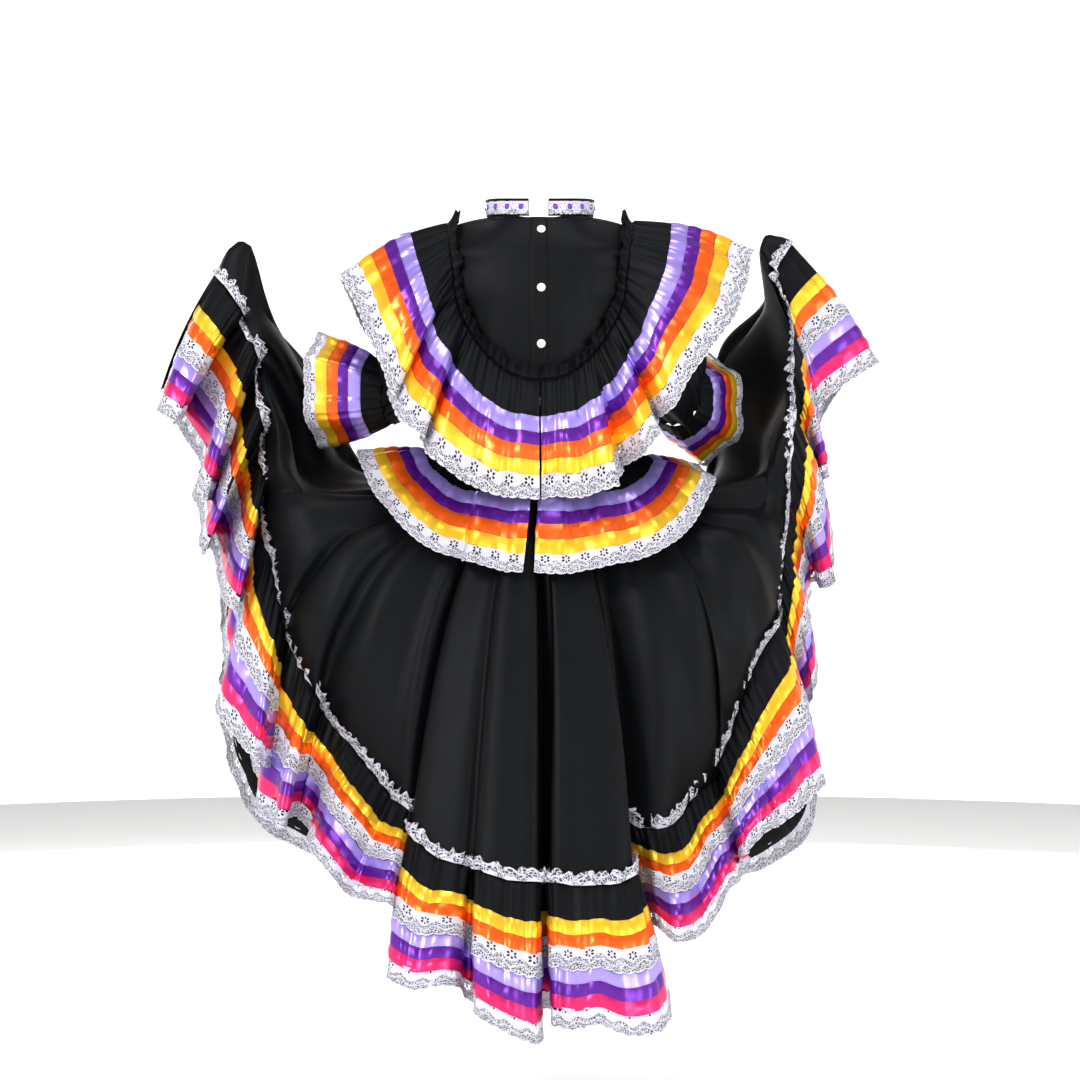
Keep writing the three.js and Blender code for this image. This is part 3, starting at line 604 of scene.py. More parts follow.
def gathers(along, down, waves, seed):
    """Depth of the gathers at each column and row."""
    depth = np.zeros((len(along), len(down)))
    down = down[None, :]
    for k, (pitch, top, middle, hem) in enumerate(waves):
        drift = 2.4 * steady(along / (2.3 * pitch), seed + 7 * k)
        lean = 1.3 * steady(along / (3.1 * pitch), seed + 7 * k + 3)
        strength = 0.72 + 0.42 * steady(along / (1.9 * pitch), seed + 7 * k + 5)
        phase = 2 * math.pi * along / pitch + drift
        wave = np.sin(phase[:, None] + lean[:, None] * down)
        amount = np.interp(down[0], (0.0, 0.5, 1.0), (top, middle, hem))[None, :]
        depth += wave * amount * strength[:, None]
    return depth


class Cloth:
    """A dense smooth cloth through a coarse grid of points, sampled anywhere."""

    def __init__(self, grid, shares, closed, step, rows, waves, seed, first=0, last=None, ease=0.0):
        spans = len(grid) if closed else len(grid) - 1
        after = np.roll(grid, -1, axis=0)[:spans]
        chords = np.linalg.norm(after - grid[:spans], axis=2)
        # A span is as long as its top edge, or a little over half its longest chord.
        lengths = np.maximum(chords[:, 0], 0.55 * chords.max(axis=1)) + 1e-5
        stops = np.concatenate(([0.0], np.cumsum(lengths)))
        last = spans if last is None else last
        start, end = stops[first], stops[last]
        columns = max(8, int((end - start) / step) + 1)
        self.along = np.linspace(start, end, columns)
        places = np.interp(self.along, stops, np.arange(spans + 1))
        places = np.clip(places, 0, spans - 1e-9)
        self.closed = closed and first == 0 and last == spans
        self.shares = np.asarray(rows, dtype=float)
        wide = smooth_rows(grid, lengths, places, closed)
        rungs = np.interp(self.shares, shares, np.arange(len(shares)))
        drops = np.maximum(np.diff(np.asarray(shares)), 1e-4)
        tall = smooth_rows(wide.transpose(1, 0, 2), drops, np.clip(rungs, 0, len(shares) - 1 - 1e-9), False)
        points = tall.transpose(1, 0, 2)
        if self.closed:
            points[-1] = points[0]
        normals = grid_normals(points, self.closed)
        depth = gathers(self.along, self.shares, waves, seed)
        if ease:
            depth = depth * np.clip(self.shares / ease, 0, 1)[None, :]
        if self.closed:
            # Over the last 60 mm the gathers turn into those of the first column.
            fade = np.clip((end - self.along) / 0.06, 0, 1)[:, None]
            depth = depth * fade + depth[:1] * (1 - fade)
        self.points = points + normals * depth[:, :, None]
        self.normals = grid_normals(self.points, self.closed)

    def at(self, column, share, lift=0.0):
        """Points at fractional columns and shares down the cloth, lifted off it."""
        columns, rows = self.points.shape[:2]
        column = np.clip(column, 0, columns - 1 - 1e-6)
        rung = np.clip(np.interp(share, self.shares, np.arange(rows)), 0, rows - 1 - 1e-6)
        column, rung = np.broadcast_arrays(column, rung)
        i, j = np.floor(column).astype(int), np.floor(rung).astype(int)
        f, g = (column - i)[..., None], (rung - j)[..., None]

        def mix(field):
            near = field[i, j] * (1 - g) + field[i, j + 1] * g
            far = field[i + 1, j] * (1 - g) + field[i + 1, j + 1] * g
            return near * (1 - f) + far * f

        normals = mix(self.normals)
        normals = normals / np.maximum(np.linalg.norm(normals, axis=-1, keepdims=True), 1e-12)
        return mix(self.points) + normals * np.asarray(lift)[..., None]

    def reach(self, share):
        """Running length along the cloth at one share down it, per column."""
        columns = np.arange(len(self.points))
        line = self.at(columns.astype(float), np.full(len(columns), share))
        steps = np.linalg.norm(np.diff(line, axis=0), axis=1)
        return np.concatenate(([0.0], np.cumsum(steps)))


# ---- colours and settings ----------------------------------------------------------
def linear(text):
    """An sRGB hex value as linear red, green and blue."""
    values = [int(text[k : k + 2], 16) / 255 for k in (1, 3, 5)]
    return tuple(v / 12.92 if v <= 0.04045 else ((v + 0.055) / 1.055) ** 2.4 for v in values)


def settings():
    return bpy.context.scene.dress_settings


# ---- meshes ----------------------------------------------------------------------
def link(name, mesh):
    """An object of a finished mesh, smooth all over."""
    mesh.polygons.foreach_set("use_smooth", [True] * len(mesh.polygons))
    piece = bpy.data.objects.new(name, mesh)
    bpy.context.scene.collection.objects.link(piece)
    return piece


def weld(mesh, distance=1e-6):
    """Join the points of a mesh that meet at a seam."""
    bm = bmesh.new()
    bm.from_mesh(mesh)
    bmesh.ops.remove_doubles(bm, verts=bm.verts, dist=distance)
    bm.to_mesh(mesh)
    bm.free()


def cloth_piece(name, points, uvs, closed=False):
    """A grid of cloth moved onto its points; rows run down, columns across."""
    columns, rows = points.shape[:2]
    bm = bmesh.new()
    bm.loops.layers.uv.new("UVMap")
    bmesh.ops.create_grid(bm, x_segments=columns - 1, y_segments=rows - 1, size=1.0)
    mesh = bpy.data.meshes.new(name)
    bm.to_mesh(mesh)
    bm.free()
    flat = np.empty(len(mesh.vertices) * 3)
    mesh.vertices.foreach_get("co", flat)
    flat = flat.reshape(-1, 3)
    i = np.rint((flat[:, 0] + 1) / 2 * (columns - 1)).astype(int)
    j = np.rint((1 - flat[:, 1]) / 2 * (rows - 1)).astype(int)
    mesh.vertices.foreach_set("co", points[i, j].ravel())
    corners = np.empty(len(mesh.loops), dtype=np.int32)
    mesh.loops.foreach_get("vertex_index", corners)
    mesh.uv_layers[0].data.foreach_set("uv", uvs[i[corners], j[corners]].ravel())
    mesh.update()
    if closed:
        weld(mesh)
    return link(name, mesh)


def thicken(piece, thickness, offset=0.0):
    """Give a sheet its wall; offset 0 keeps the sheet in the middle of it."""
    wall = piece.modifiers.new("cloth wall", "SOLIDIFY")
    wall.thickness = thickness
    wall.offset = offset
    wall.use_rim = True
    return piece


def dress_piece(piece, finish, nodes):
    """Give a piece its finish and say which solids it shows in place of."""
    piece.data.materials.clear()
    piece.data.materials.append(finish)
    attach(piece, BODY)
    if nodes:
        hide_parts(*nodes)
    return piece


def cloth_panel(name, cloth, thickness, closed=False):
    """A walled panel of a cloth; its UV map runs in metres along and down the cloth."""
    columns = np.arange(len(cloth.points), dtype=float)
    reach = cloth.reach(cloth.shares[len(cloth.shares) // 2])
    drops = np.linalg.norm(np.diff(cloth.points, axis=1), axis=2).mean(axis=0)
    falls = np.concatenate(([0.0], np.cumsum(drops)))
    uvs = np.stack(np.broadcast_arrays(reach[:, None], falls[None, :]), axis=2)
    piece = cloth_piece(name, cloth.points, uvs, closed)
    return thicken(piece, thickness)


def ribbon(name, cloth, start, end, width, lift, seed):
    """A satin ribbon sewn on the cloth along both edges, crowned and puckered between."""
    rows = 6
    share = np.linspace(start, end, rows)
    columns = np.arange(len(cloth.points), dtype=float)
    place = np.linspace(0, 1, rows)
    pucker = gathers(cloth.along, place, RIBBON_PUCKER, seed)
    pucker = pucker * np.sin(math.pi * place)[None, :] ** 0.7
    raised = lift + RIBBON_CROWN * np.sin(math.pi * place)[None, :] + pucker
    if cloth.closed:
        raised[-1] = raised[0]
    points = cloth.at(columns[:, None], share[None, :], np.maximum(raised, lift * 0.75))
    reach = cloth.reach((start + end) / 2)
    uvs = np.stack(np.broadcast_arrays(reach[:, None], place[None, :] * width), axis=2)
    return cloth_piece(name, points, uvs, cloth.closed)


# ---- eyelet lace ------------------------------------------------------------------
def lace_tile(width, repeat, holes, scallops, depth):
    """One repeat of lace lying flat: straight top edge, scalloped foot, eyelets cut out.

    holes holds rows of x, y, half width, half height and turn, in millimetres.
    """
    bm = bmesh.new()
    steps = scallops * 6
    edge = [(repeat, 0.0), (0.0, 0.0)]
    for k in range(steps + 1):
        x = repeat * k / steps
        dip = abs(math.sin(math.pi * scallops * k / steps)) ** 0.6
        edge.append((x, width - depth * (1.0 - dip)))
    ring = [bm.verts.new((x, y, 0.0)) for x, y in edge]
    for a, b in zip(ring, ring[1:] + ring[:1]):
        bm.edges.new((a, b))
    for x, y, half_wide, half_high, turn in holes:
        place = Matrix.Translation((x, y, 0)) @ Matrix.Rotation(turn, 4, "Z")
        place = place @ Matrix.Diagonal((half_wide, half_high, 1, 1))
        bmesh.ops.create_circle(bm, cap_ends=False, segments=6, radius=1.0, matrix=place)
    bmesh.ops.triangle_fill(bm, use_beauty=True, use_dissolve=False, edges=bm.edges[:])
    bmesh.ops.reverse_faces(bm, faces=[face for face in bm.faces if face.normal.z > 0])
    tile = bpy.data.meshes.new("lace tile")
    bm.to_mesh(tile)
    bm.free()
    return tile


def lace_holes():
    """The six petals of one flower, as x, y, half length, half width and turn."""
    holes = []
    for k in range(6):
        turn = math.radians(60 * k + 30)
        half_length = 1.9 if k in (1, 4) else 2.5
        x = LACE_REPEAT / 2 + 5.6 * math.cos(turn)
        holes.append((x, 9.0 + 4.4 * math.sin(turn), half_length, 1.7, turn))
    return holes


def trim_holes():
    """Four small eyelets of the ruched edging."""
    return [
        (2.6, 4.2, 0.8, 0.6, 0.4),
        (6.2, 7.4, 0.9, 0.6, -0.5),
        (9.2, 3.6, 0.7, 0.7, 0.0),
        (3.4, 9.2, 0.7, 0.5, 0.9),
    ]


def collar_holes():
    """A ring of six eyelets round each gem and four between the rings."""
    holes = []
    for k in range(6):
        turn = math.radians(60 * k)
        x = COLLAR_LACE_REPEAT / 2 + 7.2 * math.cos(turn)
        holes.append((x, 9.6 + 5.8 * math.sin(turn), 0.9, 0.7, turn))
    for x in (2.2, 21.8):
        holes.append((x, 4.0, 0.7, 0.7, 0.0))
    for x in (2.2, 21.8):
        holes.append((x, 15.0, 0.8, 0.8, 0.0))
    return holes


def lay_lace(name, tile, tile_repeat, tile_width, cloth, middle, place_at, shift=0.0):
    """Repeat a lace tile along a cloth; place_at maps running column and depth to points.

    shift moves the UV map down, in metres, to choose the part of the lace pattern.
    """
    total = cloth.reach(middle)
    repeats = max(3, int(round(total[-1] / (tile_repeat * MM))))
    bm = bmesh.new()
    for _ in range(repeats):
        bm.from_mesh(tile)
    mesh = bpy.data.meshes.new(name)
    bm.to_mesh(mesh)
    bm.free()
    flat = np.empty(len(mesh.vertices) * 3)
    mesh.vertices.foreach_get("co", flat)
    flat = flat.reshape(repeats, -1, 3)
    run = (np.arange(repeats)[:, None] + flat[:, :, 0] / tile_repeat) / repeats * total[-1]
    depth = flat[:, :, 1] / tile_width
    column = np.interp(run, total, np.arange(len(total)))
    points = place_at(column, depth)
    mesh.vertices.foreach_set("co", points.reshape(-1, 3).ravel())
    layer = mesh.uv_layers.new(name="UVMap")
    corners = np.empty(len(mesh.loops), dtype=np.int32)
    mesh.loops.foreach_get("vertex_index", corners)
    uvs = np.stack((run, depth * tile_width * MM + shift), axis=2).reshape(-1, 2)
    layer.data.foreach_set("uv", uvs[corners].ravel())
    weld(mesh, 2e-5)
    mesh.update()
    return link(name, mesh)


def lace_band(name, cloth, start, end, lift, flare, seed):
    """A lace band sewn along its top edge, its scalloped foot standing a little proud."""
    tile = lace_tile(LACE_WIDTH, LACE_REPEAT, lace_holes(), 2, 2.6)

    def place_at(column, depth):
        along = np.interp(column, np.arange(len(cloth.along)), cloth.along)
        ruffle = np.sin(2 * math.pi * along / 0.041 + 2.5 * steady(along / 0.07, seed))
        proud = lift + depth * depth * (flare + 0.5 * flare * ruffle)
        return cloth.at(column, start + (end - start) * depth, proud)

    piece = lay_lace(name, tile, LACE_REPEAT, LACE_WIDTH, cloth, (start + end) / 2, place_at)
    bpy.data.meshes.remove(tile)
    return piece


def flounce(prefix, cloth, bands):
    """The ribbons and lace of one flounce."""
    for k, (band, start, end) in enumerate(bands):
        if band in ("cloth", "trim"):
            continue
        name = f"{prefix}_{band}_piece"
        seed = 40 + 11 * k + sum(map(ord, prefix))
        if band in ("lace", "hem_lace"):
            last = k == len(bands) - 1
            foot = end if last else end + LACE_FALL
            lift = LACE_LIFT if last else LACE_LIFT_OVER_RIBBON
            piece = lace_band(name, cloth, start - LACE_TUCK, foot, lift, LACE_FLARE, seed)
            finish, slot = FINISHES["lace"], "lace"
        else:
            lift = RIBBON_LIFT + RIBBON_OVERLAP_LIFT * (k % 2)
            top, foot = start - RIBBON_LAP, end + RIBBON_LAP
            piece = ribbon(name, cloth, top, foot, RIBBON_WIDTH * MM, lift, seed)
            finish, slot = FINISHES[band], f"{band}_ribbon"
        dress_piece(piece, finish, [f"{prefix}_{band}"])


# ---- the dress's own shapes ---------------------------------------------------------
def skirt_tables():
    """The skirt's grid from waist to seam, and the ruffle's seam and hem points."""
    rows = np.array(SKIRT_FOLDS, dtype=float) * MM
    seams, hems = rows[:, :3], rows[:, 3:]
    keys = np.array([row[0] for row in SKIRT_GUIDES], dtype=float)
    guides = np.array([row[1:] for row in SKIRT_GUIDES], dtype=float)
    places = np.arange(len(rows), dtype=float)
    blend = np.stack([np.interp(places, keys, guides[:, k]) for k in range(guides.shape[1])], axis=1)
    angle = np.radians(blend[:, 0])
    wide, deep = SKIRT_TOP_HALF
    level = np.full(len(rows), SKIRT_TOP_Z)
    waist = np.stack((wide * np.sin(angle), -deep * np.cos(angle), level), axis=1) * MM
    columns = [waist]
    for k, share in enumerate(BODY_SHARES):
        offset = blend[:, 1 + 3 * k : 4 + 3 * k] * MM
        columns.append(waist * (1 - share) + seams * share + offset)
    columns.append(seams)
    body = np.stack(columns, axis=1)
    return body, seams, hems


def flounce_grid(tops, hems, shares, bulge, closed):
    """Points from the gathering line to the hem, bulged outwards between."""
    shares = np.asarray(shares)
    straight = tops[:, None, :] * (1 - shares[None, :, None]) + hems[:, None, :] * shares[None, :, None]
    ring = np.concatenate((straight, straight[:1])) if closed else straight
    normals = grid_normals(ring, closed)[: len(straight)]
    total = np.zeros_like(normals)
    for step in range(-4, 5):
        picks = np.arange(len(straight)) + step
        picks = picks % len(straight) if closed else np.clip(picks, 0, len(straight) - 1)
        total += normals[picks]
    total /= np.maximum(np.linalg.norm(total, axis=2, keepdims=True), 1e-9)
    return straight + total * (bulge * np.sin(math.pi * shares))[None, :, None]


def cuts(bands):
    """Where each band of a flounce starts, and where the last one ends."""
    return [bands[0][1]] + [band[2] for band in bands]


def make_skirt():
    body, seams, hems = skirt_tables()
    rows = np.linspace(0, 1, 58)
    for name, first, last in PANELS:
        cloth = Cloth(
            body, SKIRT_SHARES, closed=True, step=SKIRT_STEP, rows=rows, waves=SKIRT_WAVES, seed=5,
            first=first, last=last,
        )
        panel = cloth_panel(f"skirt_{name}_piece", cloth, settings().cloth_wall)
        dress_piece(panel, FINISHES["black"], [f"skirt_{name}"])


def ruffle_cloth(first=0, last=None):
    """The skirt ruffle between two rows of the fold table, and its row shares."""
    body, seams, hems = skirt_tables()
    shares = cuts(SKIRT_BANDS)
    grid = flounce_grid(seams, hems, shares, RUFFLE_BULGE, True)
    plain = SKIRT_BANDS[1][2]
    rows = np.concatenate((np.linspace(0, plain, 9)[:-1], np.linspace(plain, 1.0, 14)))
    cloth = Cloth(
        grid, shares, closed=True, step=RUFFLE_STEP, rows=rows, waves=RUFFLE_WAVES, seed=21,
        first=first, last=last, ease=0.03,
    )
    return cloth, rows


def make_ruffle():
    for name, first, last in PANELS:
        cloth, rows = ruffle_cloth(first, last)
        keep = np.searchsorted(rows, SKIRT_BANDS[-1][1] + GROUND_UNDER_LACE)
        cloth.points, cloth.normals = cloth.points[:, :keep], cloth.normals[:, :keep]
        cloth.shares = cloth.shares[:keep]
        panel = cloth_panel(f"skirt_ruffle_{name}_piece", cloth, settings().flounce_wall)
        dress_piece(panel, FINISHES["black"], [f"skirt_ruffle_{name}"])
    cloth, rows = ruffle_cloth()
    flounce("skirt", cloth, SKIRT_BANDS)
    make_trim(cloth)


def make_trim(cloth):
    """The ruched lace edging over the seam, gathered into small frills."""
    body, seams, hems = skirt_tables()
    rows = np.linspace(0.9, 1.0, 6)
    above = Cloth(body, SKIRT_SHARES, closed=True, step=RUFFLE_STEP, rows=rows, waves=NO_WAVES, seed=5)
    edge = cloth.points[:, 0]
    apart = np.linalg.norm(edge[:, None] - above.points[None, :, -1], axis=2)
    rise = above.points[:, 0] - above.points[:, -1]
    up = rise[apart.argmin(axis=1)]
    up = up / np.linalg.norm(up, axis=1, keepdims=True)
    out = cloth.normals[:, 2]
    tile = lace_tile(TRIM_WIDTH, TRIM_REPEAT, trim_holes(), 1, 1.2)
    columns = np.arange(len(edge))

    def place_at(column, depth):
        def line(field):
            return np.stack([np.interp(column, columns, field[:, k]) for k in range(3)], axis=-1)

        along = np.interp(column, columns, cloth.along)
        frill = np.sin(2 * math.pi * along / FRILL_PITCH + 3 * steady(along / 0.03, 9))
        height = depth * (TRIM_HEIGHT + 0.0020 * frill + 0.001 * steady(along / 0.02, 4)) - TRIM_DROP
        ripple = 0.0010 * np.sin(4 * math.pi * along / FRILL_PITCH)
        stand = TRIM_STAND + 0.0030 * depth * (1.0 + frill) + ripple
        return line(edge) + line(up) * height[..., None] + line(out) * stand[..., None]

    piece = lay_lace("skirt_trim_piece", tile, TRIM_REPEAT, TRIM_WIDTH, cloth, 0.0, place_at, TRIM_NET_SHIFT)
    bpy.data.meshes.remove(tile)
    dress_piece(piece, FINISHES["lace"], ["skirt_trim"])


def ring_grid(half_width, half_depth, levels, count=16):
    """Columns round the waist; levels holds rows of reach and height."""
    angles = np.arange(count) * 2 * math.pi / count
    columns = []
    for angle in angles:
        columns.append([
            ((half_width + reach) * math.sin(angle), -(half_depth + reach) * math.cos(angle), z)
            for reach, z in levels
        ])
    return np.array(columns) * MM


def make_waistband():
    grid = ring_grid(*WAISTBAND_HALF, ((0, 14), (0.6, -3), (0, -20)))
    rows = np.linspace(0, 1, 8)
    cloth = Cloth(grid, (0, 0.5, 1), closed=True, step=BODICE_STEP, rows=rows, waves=WAISTBAND_WAVES, seed=3)
    piece = cloth_panel("waistband_piece", cloth, 2 * settings().cloth_wall, closed=True)
    dress_piece(piece, FINISHES["black"], ["waistband"])


def bodice_half(side, front):
    """A quarter of the bodice: its columns from the centre line to the side."""
    columns = []
    for s, neck in enumerate(NECK_EDGE):
        angle = s / (len(NECK_EDGE) - 1) * math.pi / 2
        column = [(side * neck[0], neck[3] if front else neck[1], neck[4] if front else neck[2])]
        for z, back_y, front_y, edge_x, edge_back, edge_front, edge_z in BODICE_LEVELS:
            centre_y = front_y if front else back_y
            edge_y = edge_front if front else edge_back
            column.append((
                side * edge_x * math.sin(angle),
                edge_y + (centre_y - edge_y) * math.cos(angle),
                edge_z + (z - edge_z) * math.cos(angle),
            ))
        columns.append(column)
    return np.array(columns) * MM


def bodice_cloth(grid, first, last):
    shares = np.linspace(0, 1, grid.shape[1])
    rows = np.linspace(0, 1, 60)
    return Cloth(
        grid, shares, closed=False, step=BODICE_STEP, rows=rows, waves=BODICE_WAVES, seed=60,
        first=first, last=last, ease=0.2,
    )


def make_bodice():
    back = np.concatenate((bodice_half(-1, False)[::-1], bodice_half(1, False)[1:]))
    front = np.concatenate((bodice_half(1, True)[::-1], bodice_half(-1, True)[1:]))
    middle = len(NECK_EDGE) - 1
    pieces = (
        ("bodice_back_left", back, 0, middle),
        ("bodice_back_right", back, middle, 2 * middle),
        ("bodice_front", front, 0, 2 * middle),
    )
    for name, grid, first, last in pieces:
        cloth = bodice_cloth(grid, first, last)
        piece = cloth_panel(f"{name}_piece", cloth, settings().cloth_wall)
        dress_piece(piece, FINISHES["black"], [name])
    make_placket(bodice_cloth(back, 0, 2 * middle))


def make_placket(cloth):
    """The button stand: folded cloth with a stitch line pressed in near each edge."""
    columns, rows = 15, 120
    centre = (len(cloth.points) - 1) / 2
    reach = cloth.reach(0.4)
    spread = np.linspace(-0.45, 0.55, columns) * settings().placket_width
    column = np.interp(reach[int(centre)] + spread, reach, np.arange(len(reach)))
    share = np.linspace(0.004, 0.975, rows)
    place = np.linspace(0, 1, columns)
    crown = 0.0006 * np.clip(np.sin(math.pi * place) * 4, 0, 1)
    stitched = 0.00035 * np.exp(-(((np.abs(place - 0.5) - 0.4) / 0.03) ** 2))
    lift = np.broadcast_to((0.0017 + crown - stitched)[:, None], (columns, rows))
    points = cloth.at(column[:, None], share[None, :], lift)
    width, length = CUT_SIZES["placket"]
    uvs = np.stack(np.broadcast_arrays(place[:, None] * width * MM, share[None, :] * length * MM), axis=2)
    piece = thicken(cloth_piece("placket_piece", points, uvs), PLACKET_WALL, -1.0)
    dress_piece(piece, FINISHES["black"], ["placket"])


def lathe(bm, profile, steps):
    """Spin a profile of radius and height pairs round +Z."""
    verts = [bm.verts.new((radius, 0.0, height)) for radius, height in profile]
    edges = [bm.edges.new(pair) for pair in zip(verts, verts[1:])]
    bmesh.ops.spin(
        bm, geom=verts + edges, cent=(0, 0, 0), axis=(0, 0, 1), angle=2 * math.pi, steps=steps,
        use_merge=True,
    )
    bmesh.ops.remove_doubles(bm, verts=bm.verts, dist=1e-6)
    bmesh.ops.recalc_face_normals(bm, faces=bm.faces)


def finish_bmesh(bm, name):
    """Turn a bmesh into a linked object."""
    mesh = bpy.data.meshes.new(name)
    bm.to_mesh(mesh)
    bm.free()
    return link(name, mesh)


def make_button(number):
    """A four-hole shirt button with a raised rim; small dark domes show as its holes."""
    radius, thick = settings().button_diameter / 2, settings().button_thickness
    solid = f"button_{number}"
    low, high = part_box(solid)
    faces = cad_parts[solid].data.polygons
    front = max(faces, key=lambda face: -2 * face.normal.y - 2 * abs(face.normal.x))
    turn = front.normal.to_track_quat("Z", "Y").to_matrix().to_4x4()
    place = Matrix.Translation((Vector(low) + Vector(high)) / 2) @ turn
    # shares of the radius and of the thickness, from the back's centre over the rim
    profile = (
        (0.0, -0.5), (0.86, -0.5), (0.97, -0.2), (1.0, 0.12), (0.95, 0.44),
        (0.84, 0.5), (0.7, 0.4), (0.6, 0.14), (0.3, 0.08), (0.0, 0.06),
    )
    bm = bmesh.new()
    lathe(bm, [(radius * out, thick * up) for out, up in profile], 40)
    bm.transform(place)
    dress_piece(finish_bmesh(bm, f"{solid}_piece"), FINISHES["button"], [solid])
    bm = bmesh.new()
    for x, y in ((1, 1), (-1, 1), (1, -1), (-1, -1)):
        spot = place @ Matrix.Translation((x * HOLE_SPACING / 2, y * HOLE_SPACING / 2, thick * 0.10))
        spot = spot @ Matrix.Diagonal((1, 1, 0.4, 1))
        bmesh.ops.create_uvsphere(bm, u_segments=12, v_segments=6, radius=HOLE_RADIUS, matrix=spot)
    dress_piece(finish_bmesh(bm, f"{solid}_holes"), FINISHES["black"], [])


def neck_point(degrees, reach, z):
    """A point round the neck edge, standing off it by reach and above it by z."""
    angle = math.radians(degrees)
    dip = math.sin(angle) ** 2
    middle = NECK_BACK_Z if math.cos(angle) > 0 else NECK_FRONT_Z
    base = middle + (NECK_SIDE_Z - middle) * dip
    wide, deep = NECK_HALF
    return ((wide + reach) * math.sin(angle), -(deep + reach) * math.cos(angle), base + z)


def make_collar():
    top = COLLAR_LIFT + COLLAR_HEIGHT
    levels = ((3, top), (1.5, top - 4), (0.5, COLLAR_LIFT + 3), (0, COLLAR_LIFT))
    degrees = np.linspace(9, 348, 19)
    grid = np.array([[neck_point(d, reach, z) for reach, z in levels] for d in degrees]) * MM
    shares = (0, 4 / COLLAR_HEIGHT, 1 - 3 / COLLAR_HEIGHT, 1)
    rows = np.linspace(0, 1, 14)
    cloth = Cloth(grid, shares, closed=False, step=COLLAR_STEP, rows=rows, waves=NO_WAVES, seed=8)
    piece = cloth_panel("collar_piece", cloth, COLLAR_WALL)
    dress_piece(piece, FINISHES["black"], ["collar"])
    tile = lace_tile(COLLAR_LACE_WIDTH, COLLAR_LACE_REPEAT, collar_holes(), 3, 1.6)

    def place_at(column, depth):
        return cloth.at(column, 0.13 + 0.78 * depth, np.full(depth.shape, 0.0016))

    lace = lay_lace("collar_lace_piece", tile, COLLAR_LACE_REPEAT, COLLAR_LACE_WIDTH, cloth, 0.5, place_at)
    bpy.data.meshes.remove(tile)
    dress_piece(lace, FINISHES["lace"], ["collar_lace"])
    make_gems(cloth)


def make_gems(cloth):
    """Ten-sided gems glued along the collar lace, each a girdle with a cut top."""
    reach = cloth.reach(0.5)
    middle = np.array(0.46)
    bm = bmesh.new()
    for spot in np.arange(0.011, reach[-1] - 0.006, GEM_SPACING):
        column = np.interp(spot, reach, np.arange(len(reach)))
        centre = Vector(cloth.at(column, middle, np.array(0.0022)))
        out = centre - Vector(cloth.at(column, middle, np.array(0.0)))
        place = Matrix.Translation(centre) @ out.to_track_quat("Z", "Y").to_matrix().to_4x4()
        for radius, top, depth, up in GEM_LAYERS:
            bmesh.ops.create_cone(
                bm, cap_ends=True, segments=10, radius1=radius, radius2=top, depth=depth,
                matrix=place @ Matrix.Translation((0, 0, up)),
            )
    gems = finish_bmesh(bm, "collar_gems")
    gems.data.polygons.foreach_set("use_smooth", [False] * len(gems.data.polygons))
    dress_piece(gems, FINISHES["gem"], [])


def yoke_point(sign, front, place):
    """A point on the gathering line of the blouse flounce."""
    rows = np.arange(len(YOKE_LINE))
    x, back_y, front_y, z = [np.interp(place, rows, column) for column in zip(*YOKE_LINE)]
    return (sign * x, front_y if front else back_y, z)


def bertha_tops():
    """The gathering line at each fold, slit at the centre back."""
    shoulders = [i for i, row in enumerate(BERTHA_FOLDS) if row[1] == len(YOKE_LINE) - 1]
    tops = []
    for i, row in enumerate(BERTHA_FOLDS):
        tops.append(yoke_point(row[0], shoulders[0] < i < shoulders[1], row[1]))
    tops = np.array(tops) * MM
    tops[0, 0], tops[-1, 0] = BERTHA_HALF_SLIT[0], -BERTHA_HALF_SLIT[0]
    return tops


def make_flounce(prefix, tops, hems, bands, bulge, waves, seed, closed, step, ground=None):
    """A gathered flounce of the blouse: its ribbons and lace over a black ground."""
    shares = cuts(bands)
    grid = flounce_grid(tops, hems, shares, bulge, closed)
    plain = bands[0][2]
    rows = np.concatenate((np.linspace(0, plain, 8)[:-1], np.linspace(plain, 1.0, 12)))
    keep = np.searchsorted(rows, bands[-1][1] + 0.03)
    whole, shorter = [
        Cloth(grid, shares, closed=closed, step=step, rows=some, waves=waves, seed=seed, ease=0.05)
        for some in (rows, rows[:keep])
    ]
    flounce(prefix, whole, bands)
    name = ground or prefix
    panel = cloth_panel(f"{name}_piece", shorter, settings().flounce_wall, closed=closed)
    dress_piece(panel, FINISHES["black"], [name])


def make_bertha():
    tops = bertha_tops()
    hems = np.array([row[2:5] for row in BERTHA_FOLDS], dtype=float) * MM
    hems[0, 0], hems[-1, 0] = BERTHA_HALF_SLIT[1], -BERTHA_HALF_SLIT[1]
    make_flounce(
        "bertha", tops, hems, BERTHA_BANDS, bulge=BERTHA_BULGE, waves=BERTHA_WAVES, seed=71,
        closed=False, step=FLOUNCE_STEP,
    )
    make_heading(tops)


